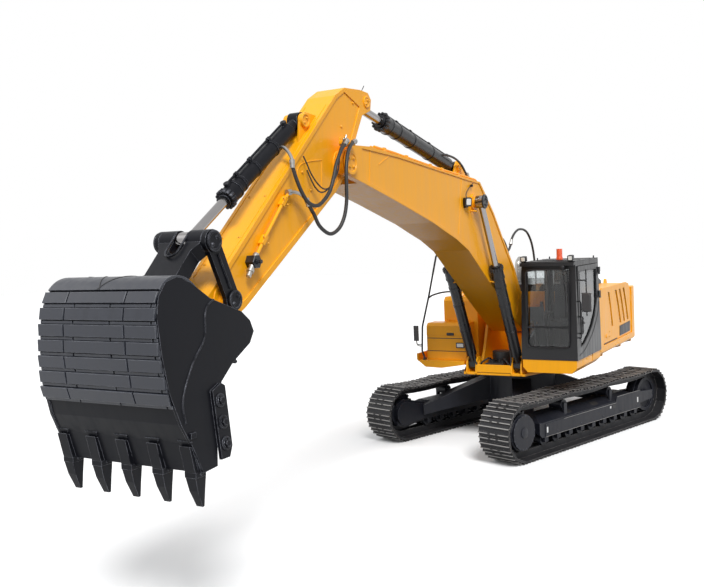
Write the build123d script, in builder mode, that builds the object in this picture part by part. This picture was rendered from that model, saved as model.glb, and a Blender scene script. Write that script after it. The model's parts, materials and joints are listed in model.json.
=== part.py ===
from build123d import *
import math
import os

# A crawler excavator of the 36 tonne class, in millimetres.
# X runs forward along the boom, Y to the left (cab side), Z up.
# The origin is on the ground, on the swing axis.

gap = 0.3                 # seat between two pieces that touch
running = 6.0             # room between two pieces that move past each other

# hinges of doors and lids
hinge_pin = 8
hinge_bore = hinge_pin + 0.5
hinge_barrel = 15
hinge_length = 110

# undercarriage
heading = -16.84          # turn of the tracks from the upper structure, degrees
wheelbase = 4035
gauge = 2600
shoe_width = 600
shoe_count = 49
track_height = 980
grouser = 28              # height of a shoe's bar
shoe_plate = 16
chain_out = 60            # pin line to the shoe's underside
chain_in = 50             # pin line to the rail that the rollers run on
rail_width = 45
rail_offset = 92          # middle of the chain to the middle of a rail
track_sag = 26
bottom_rollers = 9
roller_radius = 102
carrier_radius = 84
beam_width = 410
beam_low = 300
beam_top = 640
beam_rear = -1645
beam_front = 1480
tub_radius = 640
bearing_low = 1130
bearing_top = 1215
bearing_radius = 715

# upper structure
deck_top = 1526
deck_half = 1487
outrigger_top = 1436      # beams of the main frame that carry the decks
skirt_low = 1305
weight_seat = 1500        # top of the main frame's tail, under the counterweight
rear_skirt_low = 1420
girder_inner = 325
girder_thick = 48
foot = (500, 2080)        # boom foot pin
lift_base = (1205, 1388)  # boom cylinder base pin
lift_y = 414              # boom cylinders, off the centre line
cab_rear = -75
cab_front_low = 1408
cab_front_top = 1322
cab_right_low = 544
cab_right_top = 557
cab_left_low = 1505
cab_left_top = 1480
cab_top = 3175
cab_wall = 60
panel_top = 2600          # top of the engine bay's side doors
panel_half = 1468
panel_thick = 30
bay_front = -330
bay_rear = -2560
weight_rear = -3450
weight_low = 1225
weight_top = 2480
weight_corner = 700

# boom, arm and bucket, with the pins where they stand at rest
knee = (2684, 4185)       # boom cylinder rod pins
crowd_base = (2800, 4737) # arm cylinder base pin
tip = (6500, 4597)        # boom to arm pin
tail = (5815, 5400)       # arm cylinder rod pin
curl_base = (7116, 5060)  # bucket cylinder base pin
link_pin = (8815, 3150)   # side link pin on the arm
rod_pin = (9085, 3730)    # side link, H link and bucket cylinder rod
bucket_pin = (9200, 2900)
link_length = 640         # H link, pin to pin
bucket_pin_span = 500     # bucket's two pins
boom_half = 300
arm_half = 195
web_inset = 12            # webs stand inside the edges of the flange plates
flange = 22
pin_radius = 55
pin_bore = pin_radius + 0.5
link_pin_radius = 45
bucket_top_half = 675
bucket_lip_half = 836
tooth_count = 5
tooth_pitch = 367
tooth_tip_z = 1492


def meet(a, b, from_a, from_b):
    """The point at two distances from two pins, on the side away from the machine."""
    span = math.dist(a, b)
    along = (from_a**2 - from_b**2 + span**2) / (2 * span)
    out = math.sqrt(from_a**2 - along**2)
    ux, uz = (b[0] - a[0]) / span, (b[1] - a[1]) / span
    return (a[0] + along * ux + out * uz, a[1] + along * uz - out * ux)


ear_pin = meet(bucket_pin, rod_pin, bucket_pin_span, link_length)  # H link to bucket
chassis = Plane.XY.rotated((0, 0, heading))


def side(y, base=Plane.XY):
    """A plane along the machine at width y: forward is its x and up its y."""
    return Plane(origin=base.from_local_coords((0, y, 0)), x_dir=base.x_dir, z_dir=-base.y_dir)


def slabs(outlines, y0, y1, base=Plane.XY, mode=Mode.ADD):
    """Side outlines of (x, z) points, as plates from width y0 to width y1."""
    with BuildSketch(side((y0 + y1) / 2, base)) as face:
        for outline in outlines:
            with BuildLine():
                Polyline(*outline, close=True)
            make_face()
    extrude(face.sketch, amount=abs(y1 - y0) / 2, both=True, mode=mode)


def slab(outline, y0, y1, base=Plane.XY, mode=Mode.ADD):
    slabs([outline], y0, y1, base, mode)


def oblong(x0, x1, z0, z1):
    return [(x0, z0), (x1, z0), (x1, z1), (x0, z1)]


def block(x0, x1, y0, y1, z0, z1, base=Plane.XY, mode=Mode.ADD):
    slab([(x0, z0), (x1, z0), (x1, z1), (x0, z1)], y0, y1, base, mode)


def disc(centre, radius, y0, y1, base=Plane.XY, mode=Mode.ADD):
    """A round across the machine, about the (x, z) centre."""
    with BuildSketch(side((y0 + y1) / 2, base)) as face:
        with Locations(centre):
            Circle(radius)
    extrude(face.sketch, amount=abs(y1 - y0) / 2, both=True, mode=mode)


def plan(outline, z0, z1, base=Plane.XY, mode=Mode.ADD):
    """A plan outline of (x, y) points, from height z0 to height z1."""
    with BuildSketch(base.offset(z0)) as face:
        with BuildLine():
            Polyline(*outline, close=True)
        make_face()
    extrude(face.sketch, amount=z1 - z0, mode=mode)


def drum(x, y, radius, z0, z1, base=Plane.XY, mode=Mode.ADD):
    with BuildSketch(base.offset(z0)) as face:
        with Locations((x, y)):
            Circle(radius)
    extrude(face.sketch, amount=z1 - z0, mode=mode)


def front_on(x, base=Plane.XY):
    """A plane across the machine at length x: left is its x and up its y."""
    return Plane(origin=base.from_local_coords((x, 0, 0)), x_dir=base.y_dir, z_dir=base.x_dir)


def bar(outline, x0, x1, base=Plane.XY, mode=Mode.ADD):
    """A front outline of (y, z) points, along the machine from x0 to x1."""
    with BuildSketch(front_on(x0, base)) as face:
        with BuildLine():
            Polyline(*outline, close=True)
        make_face()
    extrude(face.sketch, amount=x1 - x0, mode=mode)


def tube(points, radii, radius, mode=Mode.ADD):
    """A pipe of straight runs and tangent arcs along (x, y, z) points."""
    with BuildLine() as path:
        FilletPolyline(*points, radius=radii)
    start = path.line @ 0
    with BuildSketch(Plane(origin=start, z_dir=path.line % 0)) as face:
        Circle(radius)
    sweep(face.sketch, path=path.line, mode=mode)


def between(a, b, t, lift=0.0):
    """A point a share t of the way from pin a to pin b, lifted square to the line."""
    span = math.dist(a, b)
    ux, uz = (b[0] - a[0]) / span, (b[1] - a[1]) / span
    return (a[0] + t * span * ux - lift * uz, a[1] + t * span * uz + lift * ux)


def parallel(path, width):
    """The open path moved to its right by a width."""
    inner = []
    for i, b in enumerate(path):
        u = path[max(i, 1)][0] - path[max(i, 1) - 1][0], path[max(i, 1)][1] - path[max(i, 1) - 1][1]
        j = min(i + 1, len(path) - 1)
        v = path[j][0] - path[j - 1][0], path[j][1] - path[j - 1][1]
        lu, lv = math.hypot(*u), math.hypot(*v)
        n, m = (u[1] / lu, -u[0] / lu), (v[1] / lv, -v[0] / lv)
        share = width / (1 + n[0] * m[0] + n[1] * m[1])
        inner.append((b[0] + share * (n[0] + m[0]), b[1] + share * (n[1] + m[1])))
    return inner


def ribbon(path, width):
    """A closed strip between an open path and its parallel."""
    return path + parallel(path, width)[::-1]


def save(part, label):
    part.label = label
    export_step(part, f"parts/{label}.step")


os.makedirs("parts", exist_ok=True)

# ---------------------------------------------------------------- tracks
pin_radius_track = track_height / 2 - grouser - shoe_plate - chain_out
hub_height = track_height / 2
loop_turn = math.pi * pin_radius_track
loop_length = 2 * wheelbase + 2 * loop_turn
shoe_pitch = loop_length / shoe_count
carriers = (-720, 720)    # carrier rollers along the frame


def sag_at(x):
    """How far the top run hangs below the line over the wheels and carrier rollers."""
    stops = (-wheelbase / 2, *carriers, wheelbase / 2)
    for a, b in zip(stops, stops[1:]):
        if a <= x <= b:
            return 4 * track_sag * (x - a) * (b - x) / (b - a) ** 2
    return 0.0


def on_loop(s):
    """Pin line of a track at length s: x, z and the direction of travel."""
    s = s % loop_length
    if s < wheelbase:
        return s - wheelbase / 2, hub_height - pin_radius_track, 0.0
    s -= wheelbase
    if s < loop_turn:
        a = s / pin_radius_track - math.pi / 2
        return (wheelbase / 2 + pin_radius_track * math.cos(a),
                hub_height + pin_radius_track * math.sin(a), a + math.pi / 2)
    s -= loop_turn
    if s < wheelbase:
        x = wheelbase / 2 - s
        slope = (sag_at(x - 5) - sag_at(x + 5)) / 10
        return x, hub_height + pin_radius_track - sag_at(x), math.pi - math.atan(slope)
    a = (s - wheelbase) / pin_radius_track + math.pi / 2
    return (-wheelbase / 2 + pin_radius_track * math.cos(a),
            hub_height + pin_radius_track * math.sin(a), a + math.pi / 2)


def beside_loop(s, along, out):
    x, z, a = on_loop(s)
    return (x + along * math.cos(a) + out * math.sin(a), z + along * math.sin(a) - out * math.cos(a))


shoe_low = chain_out + shoe_plate
shoe_tip = shoe_low + grouser
# one shoe's outer edge: (along the chain, out from the pin line)
shoe_edge = [
    (-100, shoe_low),
    (-86, shoe_tip),
    (-66, shoe_low),
    (-12, shoe_low),
    (2, shoe_tip),
    (22, shoe_low),
    (66, shoe_low),
    (86, shoe_tip),
    (100, shoe_low),
]
shoe_at = [(i + 0.5) * shoe_pitch for i in range(shoe_count)]
outer_edge = [beside_loop(s, a, o) for s in shoe_at for a, o in shoe_edge]
under_edge = [beside_loop(s - shoe_pitch / 2, 0, chain_out) for s in shoe_at]
rail_edge = [beside_loop(s - shoe_pitch / 2, 0, -chain_in) for s in shoe_at]


def make_track(y):
    with BuildPart() as track:
        slab(outer_edge, y - shoe_width / 2, y + shoe_width / 2, chassis)
        slab(under_edge, y - shoe_width / 2, y + shoe_width / 2, chassis, Mode.SUBTRACT)
        for rail in (-rail_offset, rail_offset):
            y0, y1 = y + rail - rail_width / 2, y + rail + rail_width / 2
            slab(under_edge, y0, y1, chassis)
            slab(rail_edge, y0, y1, chassis, Mode.SUBTRACT)
    return track.part


save(make_track(gauge / 2), "track_left")
save(make_track(-gauge / 2), "track_right")

# ---------------------------------------------------------------- wheels of the tracks
sprocket_at = (wheelbase / 2, hub_height)
idler_at = (-wheelbase / 2, hub_height)
teeth = 23
tooth_radius = pin_radius_track + 14
root_radius = pin_radius_track - 42
sprocket_half = 36
cover_radius = 300
cover_out = 250           # final drive cover, out from the middle of the track
motor_radius = 210
motor_in = 235

with BuildPart() as sprockets:
    for hand in (-1, 1):
        middle = hand * gauge / 2
        ring = []
        for i in range(teeth):
            for share, radius in ((0.0, root_radius), (0.34, root_radius), (0.5, tooth_radius), (0.84, tooth_radius)):
                angle = 2 * math.pi * (i + share) / teeth
                ring.append((sprocket_at[0] + radius * math.cos(angle), sprocket_at[1] + radius * math.sin(angle)))
        slab(ring, middle - sprocket_half, middle + sprocket_half, chassis)
        disc(sprocket_at, cover_radius, middle, middle + hand * (cover_out - 40), chassis)
        disc(sprocket_at, cover_radius - 22, middle, middle + hand * cover_out, chassis)
        disc(sprocket_at, motor_radius + 40, middle, middle - hand * 130, chassis)
save(sprockets.part, "sprockets")

idler_tread = (pin_radius_track - chain_in) * math.cos(shoe_pitch / 2 / pin_radius_track) - 1
with BuildPart() as idlers:
    for hand in (-1, 1):
        middle = hand * gauge / 2
        disc(idler_at, idler_tread, middle - 120, middle + 120, chassis)
        disc(idler_at, idler_tread + 30, middle - 44, middle + 44, chassis)
        for out in (-1, 1):
            disc(idler_at, idler_tread - 60, middle + out * 85, middle + out * 121, chassis, Mode.SUBTRACT)
            disc(idler_at, 95, middle, middle + out * 150, chassis)
save(idlers.part, "idlers")

roller_z = hub_height - pin_radius_track + chain_in + roller_radius
chord_drop = 10           # straight links pass this far under the bent pin line
carrier_z = hub_height + pin_radius_track - chain_in - carrier_radius - chord_drop
roller_x = [-1480 + i * 2840 / (bottom_rollers - 1) for i in range(bottom_rollers)]
roller_half = 148
with BuildPart() as rollers:
    for hand in (-1, 1):
        middle = hand * gauge / 2
        for x in roller_x:
            disc((x, roller_z), roller_radius, middle - roller_half, middle - rail_offset + 30, chassis)
            disc((x, roller_z), roller_radius, middle + rail_offset - 30, middle + roller_half, chassis)
            disc((x, roller_z), roller_radius - 30, middle - 80, middle + 80, chassis)
        for x in carriers:
            disc((x, carrier_z), carrier_radius, middle - 120, middle + 120, chassis)
save(rollers.part, "track_rollers")

# ---------------------------------------------------------------- undercarriage frame
beam_half = beam_width / 2
leg_turns = (38, 142, 218, 322)      # legs of the X body, degrees from straight ahead
leg_reach = gauge / 2 - beam_half + 60
with BuildPart() as undercarriage:
    drum(0, 0, tub_radius, 560, bearing_low - 40, chassis)
    drum(0, 0, bearing_radius + 30, bearing_low - 40, bearing_low, chassis)
    for turn in leg_turns:
        spoke = chassis.rotated((0, 0, turn))
        reach = leg_reach / abs(math.sin(math.radians(turn)))
        leg = [(0, 560), (0, 1060), (tub_radius - 40, 1060), (reach, beam_top - 60), (reach, 400),
               (reach - 330, 470), (tub_radius + 60, 620), (tub_radius - 100, 560)]
        slab(leg, -170, 170, spoke)
    for hand in (-1, 1):
        middle = hand * gauge / 2
        beam = [(beam_rear, beam_low), (beam_front, beam_low), (beam_front + 60, beam_low + 60),
                (beam_front + 60, beam_top - 90), (beam_front - 80, beam_top),
                (beam_rear + 260, beam_top), (beam_rear, beam_top - 130)]
        slab(beam, middle - beam_half, middle + beam_half, chassis)
        # the outer top edge slopes
        out = middle + hand * beam_half
        slope = [(out + hand, beam_top + 1), (out - hand * 190, beam_top + 1), (out + hand, beam_top - 96)]
        bar(slope, beam_rear - 1, beam_front + 61, chassis, Mode.SUBTRACT)
        # pocket that the rollers sit in
        block(beam_rear - 1, beam_front + 61, middle - roller_half - 4, middle + roller_half + 4,
              beam_low - 1, roller_z + roller_radius + 12, chassis, Mode.SUBTRACT)
        # collars that hold the roller axles
        for out in (-1, 1):
            inner = middle + out * (roller_half + gap)
            outer = middle + out * beam_half
            slabs([oblong(x - 48, x + 48, roller_z - 40, beam_low + 40) for x in roller_x], inner, outer, chassis)
        # posts of the carrier rollers
        for out in (-1, 1):
            near = middle + out * (120 + gap)
            slabs([oblong(x - 40, x + 40, beam_top - 170, carrier_z + 34) for x in carriers], near, near + out * 36, chassis)
        # forks of the idler
        for out in (-1, 1):
            inner = middle + out * (150 + gap)
            fork = [(idler_at[0] - 90, hub_height - 80), (beam_rear + 40, hub_height - 110),
                    (beam_rear + 40, hub_height + 110), (idler_at[0] - 90, hub_height + 80)]
            slab(fork, inner, middle + out * beam_half, chassis)
        # plate and round guard that carry the final drive
        inner = middle - hand * (130 + gap)
        plate_out = [(beam_front, beam_low), (sprocket_at[0], hub_height - 260), (sprocket_at[0] + 180, hub_height - 190),
                     (sprocket_at[0] + 180, hub_height + 190), (sprocket_at[0], hub_height + 260), (beam_front, beam_top - 20)]
        slab(plate_out, inner, inner - hand * 60, chassis)
        guard = [(beam_front, beam_low + 40), (sprocket_at[0], hub_height - motor_radius), (sprocket_at[0], hub_height + motor_radius),
                 (beam_front, beam_top - 60)]
        slab(guard, inner, middle - hand * motor_in, chassis)
        disc(sprocket_at, motor_radius, inner, middle - hand * motor_in, chassis)
save(undercarriage.part, "undercarriage_frame")

with BuildPart() as bearing:
    drum(0, 0, bearing_radius, bearing_low, bearing_top, chassis)
    drum(0, 0, bearing_radius - 130, bearing_low, bearing_top, chassis, Mode.SUBTRACT)
save(bearing.part, "swing_bearing")

# ---------------------------------------------------------------- main frame of the upper structure
frame_low = bearing_top + gap
frame_thick = 40


def girder_line(x):
    """Height of the girders' top edge behind the boom foot."""
    return weight_seat + (x + 2740) * 60 / 1840


frame_front = 1340
girder_outer = girder_inner + girder_thick
foot_x, foot_z = foot
lift_x, lift_z = lift_base
lift_eye_half = 68        # half width of the boom cylinder eyes
outrigger_thick = 60
outriggers = (bay_rear - 20, -1700, bay_front - 10, 420)
with BuildPart() as main_frame:
    deck_plan = [(frame_front, -560), (frame_front, 560), (700, 800), (-700, 800), (-2740, 640), (-2740, -640), (-700, -800), (700, -800)]
    plan(deck_plan, frame_low, frame_low + frame_thick)
    for hand in (-1, 1):
        girder = [(-2740, frame_low + 20), (-2740, weight_seat), (-900, 1560), (-250, 1800), (foot_x - 290, foot_z + 60),
                  (foot_x - 200, foot_z + 190), (foot_x - 60, foot_z + 250), (foot_x + 80, foot_z + 215), (foot_x + 185, foot_z + 90),
                  (foot_x + 200, foot_z - 60), (foot_x + 400, 1560), (foot_x + 500, 1400), (foot_x + 510, frame_low + 20)]
        slab(girder, hand * girder_inner, hand * girder_outer)
        disc(foot, 130, hand * girder_inner, hand * (girder_outer + 24))
        # clevis of a boom cylinder
        for out in (-1, 1):
            near = hand * lift_y + out * (lift_eye_half + running)
            ear = [(lift_x - 170, frame_low + 20), (lift_x - 130, lift_z + 60), (lift_x - 50, lift_z + 130), (lift_x + 60, lift_z + 125),
                   (lift_x + 130, lift_z + 30), (lift_x + 150, frame_low + 20)]
            slab(ear, near, near + out * 26)
        # outriggers that carry the side decks
        for x in outriggers:
            bar([(hand * girder_outer, frame_low + frame_thick), (hand * girder_outer, outrigger_top),
                 (hand * (deck_half - 31), outrigger_top), (hand * (deck_half - 31), outrigger_top - 60),
                 (hand * 800, frame_low)], x, x + outrigger_thick)
    # cross wall behind the boom foot
    block(-420, -380, -girder_inner, girder_inner, frame_low + 20, 1760)
    # the foot pin
    disc(foot, pin_radius, -girder_outer - 40, girder_outer + 40)
    for hand in (-1, 1):
        y = hand * lift_y
        disc(lift_base, pin_radius, y - lift_eye_half - running - 40, y + lift_eye_half + running + 40)
save(main_frame.part, "main_frame")

# ---------------------------------------------------------------- side decks
cab_deck_rear = -60
right_deck_front = 1325
weight_step = -2740       # the counterweight's side drops behind this
with BuildPart() as decks:
    tray = [(deck_half, deck_top - gap), (deck_half, skirt_low + 90), (deck_half - 90, skirt_low), (640, skirt_low), (560, skirt_low + 90), (560, deck_top - gap)]
    bar(tray, 480 + gap, 1400)
    bar([(deck_half, deck_top - gap), (deck_half, skirt_low + 90), (deck_half - 90, skirt_low), (900, skirt_low),
         (900, deck_top - gap)], cab_deck_rear, 420 - gap)
    bar([(deck_half - 26, deck_top - 30), (deck_half - 26, skirt_low + 98), (deck_half - 100, skirt_low - 1),
         (930, skirt_low - 1), (930, deck_top - 30)], cab_deck_rear - 1, 421, mode=Mode.SUBTRACT)
    for y in (1, -1):
        rail = [(y * deck_half, deck_top + 30), (y * deck_half, rear_skirt_low + 30), (y * (deck_half - 18), rear_skirt_low),
                (y * (deck_half - 30 + gap), rear_skirt_low), (y * (deck_half - 30 + gap), deck_top + 30)]
        bar(rail, weight_step, cab_rear - gap if y > 0 else right_deck_front)
    right = [(-560, outrigger_top), (-560, skirt_low + 70), (-1000, skirt_low), (-deck_half + 170, skirt_low + 10),
             (-deck_half + 31, rear_skirt_low), (-deck_half + 31, outrigger_top)]
    bar(right, 480 + gap, right_deck_front)
save(decks.part, "side_decks")

# ---------------------------------------------------------------- counterweight
with BuildPart() as weight:
    with BuildSketch(Plane.XY.offset(weight_low)):
        with BuildLine():
            l1 = Line((bay_rear - gap, -deck_half), (bay_rear - gap, deck_half))
            l2 = Line(l1 @ 1, (weight_rear + weight_corner + 60, deck_half))
            a1 = JernArc(l2 @ 1, l2 % 1, weight_corner, 78)
            l3 = Line(a1 @ 1, (weight_rear, 0))
            mirror(l2, about=Plane.XZ)
            mirror(a1, about=Plane.XZ)
            mirror(l3, about=Plane.XZ)
        make_face()
    extrude(amount=weight_top - weight_low)
    # stands on the tail of the main frame
    block(weight_step - gap, 0, -820, 820, weight_low - 1, weight_seat + gap, mode=Mode.SUBTRACT)
    block(weight_step - gap, 0, -deck_half - 1, deck_half + 1, weight_low - 1, deck_top + 30 + gap, mode=Mode.SUBTRACT)
    # the lower edge lifts towards both corners
    for hand in (-1, 1):
        bar([(hand * 900, weight_low - 1), (hand * (deck_half + 1), weight_low - 1), (hand * (deck_half + 1), rear_skirt_low + 30)],
            weight_rear - 10, bay_rear, mode=Mode.SUBTRACT)
    slab([(weight_rear - 1, weight_top + 1), (weight_rear - 1, weight_top - 260), (bay_rear - 420, weight_top + 1)],
         -deck_half - 1, deck_half + 1, mode=Mode.SUBTRACT)
save(weight.part, "counterweight")

lifting_x, lifting_y = -2800, 900
lifting_bore = 32
with BuildPart() as lifting_eyes:
    for hand in (-1, 1):
        y0, y1 = hand * lifting_y - 20, hand * lifting_y + 20
        foot_z, eye_z = weight_top + gap, weight_top + 90
        slab([(lifting_x - 110, foot_z), (lifting_x + 110, foot_z), (lifting_x + 60, eye_z + 20), (lifting_x - 60, eye_z + 20)], y0, y1)
        disc((lifting_x, eye_z), 64, y0, y1)
        disc((lifting_x, eye_z), lifting_bore, y0 - 1, y1 + 1, mode=Mode.SUBTRACT)
save(lifting_eyes.part, "lifting_eyes")

# ---------------------------------------------------------------- engine bay
bay_top = panel_top - 40
hood_front = bay_front - 60
hood_rear = bay_rear + 60
hood_half = 894
hood_low = bay_top - 60
door_rear = bay_rear + 26
door_hinge = (door_rear, panel_half - 4)      # x, y of the left door's pins
door_hinge_z = (1700, 2200)
hood_hinge = (hood_rear - 12, panel_top)      # x, z of the hood's pins
hood_hinge_y = (-620, 620)
wall_half = panel_half - panel_thick - running
with BuildPart() as bay:
    # bulkhead behind the cab, wall before the counterweight, and the fixed roof beside the hood
    for hand in (-1, 1):
        block(bay_front, bay_front + 40, hand * (girder_outer + gap), hand * wall_half, outrigger_top + gap, bay_top)
        block(bay_rear + 2, bay_front + 40, hand * (hood_half + running), hand * wall_half, bay_top - 30, bay_top)
        # ledge under the edge of the hood
        block(bay_rear + 2, bay_front + 40, hand * (hood_half - 40), hand * (hood_half + 36), hood_low - 30, hood_low - gap)
        block(bay_rear + 2, bay_front + 40, hand * (hood_half + running), hand * (hood_half + 36), hood_low - 30, bay_top)
        # pins of the side doors
        x, y = door_hinge
        for z in door_hinge_z:
            block(bay_rear + 4, x - 5, hand * (wall_half - 1), hand * (y + 10), z - 16, z - 0.5)
            drum(x, hand * y, hinge_pin, z - 8, z + hinge_length - 10)
        # pins of the hood
        x, z = hood_hinge
        for y in hood_hinge_y:
            lug = [(bay_rear + 2, bay_top - 10), (x + 4, bay_top - 10), (x + 4, z + 4), (x - 6, z + 4)]
            slab(lug, y - 14, y)
            disc(hood_hinge, hinge_pin, y - 14, y + 60)
    block(bay_front, bay_front + 40, -girder_outer - 1, girder_outer + 1, 1830, bay_top)
    block(bay_rear + 2, bay_rear + 42, -wall_half, wall_half, 1560, bay_top)
    for hand in (-1, 1):
        block(bay_rear + 2, bay_rear + 42, hand * (girder_outer + gap), hand * wall_half, outrigger_top + gap, 1561)
save(bay.part, "bay_walls")

with BuildPart() as engine:
    block(-2300, -1000, -400, 400, 1600, 2380)
    # mounts on the girders
    for hand in (-1, 1):
        for x in (-2200, -1340):
            slab([(x, girder_line(x) + gap), (x + 120, girder_line(x + 120) + gap), (x + 120, 1601), (x, 1601)],
                 hand * girder_inner, hand * girder_outer)
save(engine.part, "engine")

# ---------------------------------------------------------------- side doors, hood and cowl of the engine bay
door_front = bay_front - 6
slat_low, slat_high = 1840, 2500
# slots of the left door: front edge at the top, drop back at the foot, width
slots = [(-760, 230, 110), (-1290, 320, 120), (-1600, 320, 120), (-1910, 300, 120)]


def side_door(hand):
    outer = hand * panel_half
    inner = hand * (panel_half - panel_thick)
    openings, slats = [], []
    for x, drop, width in slots:
        openings.append([(x, slat_high), (x - width, slat_high), (x - width - 0.45 * drop, 2250), (x - width - drop, slat_low),
                         (x - drop, slat_low), (x - 0.45 * drop, 2250)])
        for i in range(9):
            z = slat_low + 20 + i * 72
            t = (slat_high - z) / (slat_high - slat_low)
            shift = drop * (0.55 * t + 0.45 * t * t)
            slats.append(oblong(x - width - shift - 30, x - shift + 30, z, z + 36))
    x, y = door_hinge
    with BuildPart() as door:
        outline = [(door_front, deck_top + 36), (door_front, panel_top), (door_rear + 340, panel_top),
                   (door_rear + 130, panel_top - 60), (door_rear, panel_top - 240), (door_rear, deck_top + 36)]
        slab(outline, inner, outer)
        slabs(openings, inner - hand, outer + hand, mode=Mode.SUBTRACT)
        slabs(slats, inner, inner + hand * 8)
        # hinge barrels at the rear edge
        for z in door_hinge_z:
            drum(x, hand * y, hinge_barrel, z, z + hinge_length)
            drum(x, hand * y, hinge_bore, z - 18, z + hinge_length + 1, mode=Mode.SUBTRACT)
    return door.part


save(side_door(1), "left_door")
save(side_door(-1), "right_door")

hood_top = panel_top + 90
with BuildPart() as hood:
    top = [(-hood_half, hood_low), (-hood_half, hood_top - 70), (-hood_half + 70, hood_top), (hood_half - 70, hood_top),
           (hood_half, hood_top - 70), (hood_half, hood_low)]
    bar(top, hood_rear, hood_front)
    inside = [(-hood_half + 25, hood_low - 1), (-hood_half + 25, hood_top - 80), (-hood_half + 80, hood_top - 25),
              (hood_half - 80, hood_top - 25), (hood_half - 25, hood_top - 80), (hood_half - 25, hood_low - 1)]
    bar(inside, hood_rear + 25, hood_front - 25, mode=Mode.SUBTRACT)
    for y in hood_hinge_y:
        x, z = hood_hinge
        disc(hood_hinge, hinge_barrel, y + 0.5, y + 60)
        block(x, hood_rear + 2, y + 0.5, y + 60, z - hinge_barrel, z + hinge_barrel)
        disc(hood_hinge, hinge_bore, y, y + 61, mode=Mode.SUBTRACT)
save(hood.part, "engine_hood")

cowl_top = 2905
with BuildPart() as cowl:
    cowl_low = hood_top + gap
    shape = [(hood_rear + 160, cowl_low), (hood_rear + 160, cowl_top - 60), (hood_rear + 260, cowl_top - 10), (-1250, cowl_top), (-1180, cowl_low)]
    slab(shape, 260, 860)
    for i in range(4):
        block(-2250 + i * 240, -2250 + i * 240 + 170, 846, 861, 2740, 2840, mode=Mode.SUBTRACT)
save(cowl.part, "hood_cowl")

with BuildPart() as exhaust:
    drum(-1500, -520, 75, hood_top + gap, 2950)
    drum(-1500, -520, 92, 2760, 2900)
    tube([(-1500, -520, 2940), (-1500, -520, 3060), (-1640, -520, 3130)], [90], 62)
save(exhaust.part, "exhaust")

# ---------------------------------------------------------------- cab
cab_low = deck_top


def cab_lean(low, high, z):
    return low + (high - low) * (z - cab_low) / (cab_top - cab_low)


def cab_front(z):
    return cab_lean(cab_front_low, cab_front_top, z)


def cab_left(z):
    return cab_lean(cab_left_low, cab_left_top, z)


def cab_right(z):
    return cab_lean(cab_right_low, cab_right_top, z)


def cab_body(inset, z0, z1, mode=Mode.ADD):
    faces = []
    for z in (z0, z1):
        with BuildSketch(Plane.XY.offset(z)) as face:
            with BuildLine():
                Polyline((cab_rear + inset, cab_right(z) + inset), (cab_front(z) - inset, cab_right(z) + inset),
                         (cab_front(z) - inset, cab_left(z) - inset), (cab_rear + inset, cab_left(z) - inset), close=True)
            make_face()
        faces.append(face.sketch)
    loft(faces, mode=mode)


# side outline of the door opening, with the swoop along its lower rear edge
door_top_z = 3085
sill = 1600
swoop = [(1270, sill), (1000, sill + 40), (700, 1760), (440, 1895), (230, 2060), (60, 2240), (-5, 2400)]
door_outline = [*swoop, (-5, door_top_z), (1262, door_top_z)]
door_shut = 8             # room round the door
window_side = [(1180, 1730), (980, 1760), (700, 1880), (480, 2010), (300, 2170), (180, 2320), (150, 2440), (150, 2990), (1185, 2990)]


def inset(outline, by):
    """The outline moved inwards by a fixed distance, corner by corner."""
    before = outline[-1:] + outline[:-1]
    after = outline[1:] + outline[:1]
    area = sum(a[0] * b[1] - b[0] * a[1] for a, b in zip(outline, after))
    step = math.copysign(by, area)
    result = []
    for a, b, c in zip(before, outline, after):
        u = ((b[0] - a[0]) / math.dist(a, b), (b[1] - a[1]) / math.dist(a, b))
        v = ((c[0] - b[0]) / math.dist(b, c), (c[1] - b[1]) / math.dist(b, c))
        share = step / (1 + u[0] * v[0] + u[1] * v[1])
        result.append((b[0] - share * (u[1] + v[1]), b[1] + share * (u[0] + v[0])))
    return result


# the door is as thick as the wall and hangs on two pins at its rear edge
door_body = inset(door_outline, door_shut)
door_y = (cab_left_low + cab_left_top) / 2
cab_hinge = (-20, door_y + 26)     # x, y of the pins
cab_hinge_z = (2480, 2900)
with BuildPart() as cab:
    cab_body(0, cab_low + gap, cab_top)
    cab_body(cab_wall, cab_low + 60, cab_top - 70, Mode.SUBTRACT)
    # door opening through the left wall
    slab(door_outline, cab_left_top - 150, cab_left_low + 20, mode=Mode.SUBTRACT)
    # front window
    bar([(cab_right_low + 110, 1740), (cab_left_low - 130, 1740), (cab_left_low - 130, 3040), (cab_right_low + 110, 3040)],
        cab_front_top - 120, cab_front_low + 10, mode=Mode.SUBTRACT)
    # rear window
    bar([(cab_right_low + 130, 2350), (cab_left_low - 130, 2350), (cab_left_low - 130, 3000), (cab_right_low + 130, 3000)],
        cab_rear - 10, cab_rear + 90, mode=Mode.SUBTRACT)
    # right windows
    slab([(120, 2250), (1190, 1800), (1190, 3000), (120, 3000)], cab_right_low - 20, cab_right_top + 90, mode=Mode.SUBTRACT)
    # roof hatch
    block(720, 1160, 760, 1280, cab_top - 80, cab_top + 10, mode=Mode.SUBTRACT)
    # pins of the door, on plates behind its rear edge
    x, y = cab_hinge
    for z in cab_hinge_z:
        block(x - 40, x + 6, cab_left_top - 20, y + 8, z - 20, z - 0.5)
        drum(x, y, hinge_pin, z - 10, z + hinge_length - 10)
    # visor over the front window
    slab([(cab_front_top - 40, cab_top - 60), (cab_front_top + 90, cab_top - 75), (cab_front_top + 90, cab_top - 35), (cab_front_top - 40, cab_top)],
         cab_right_top, cab_left_top)
save(cab.part, "cab")

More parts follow.
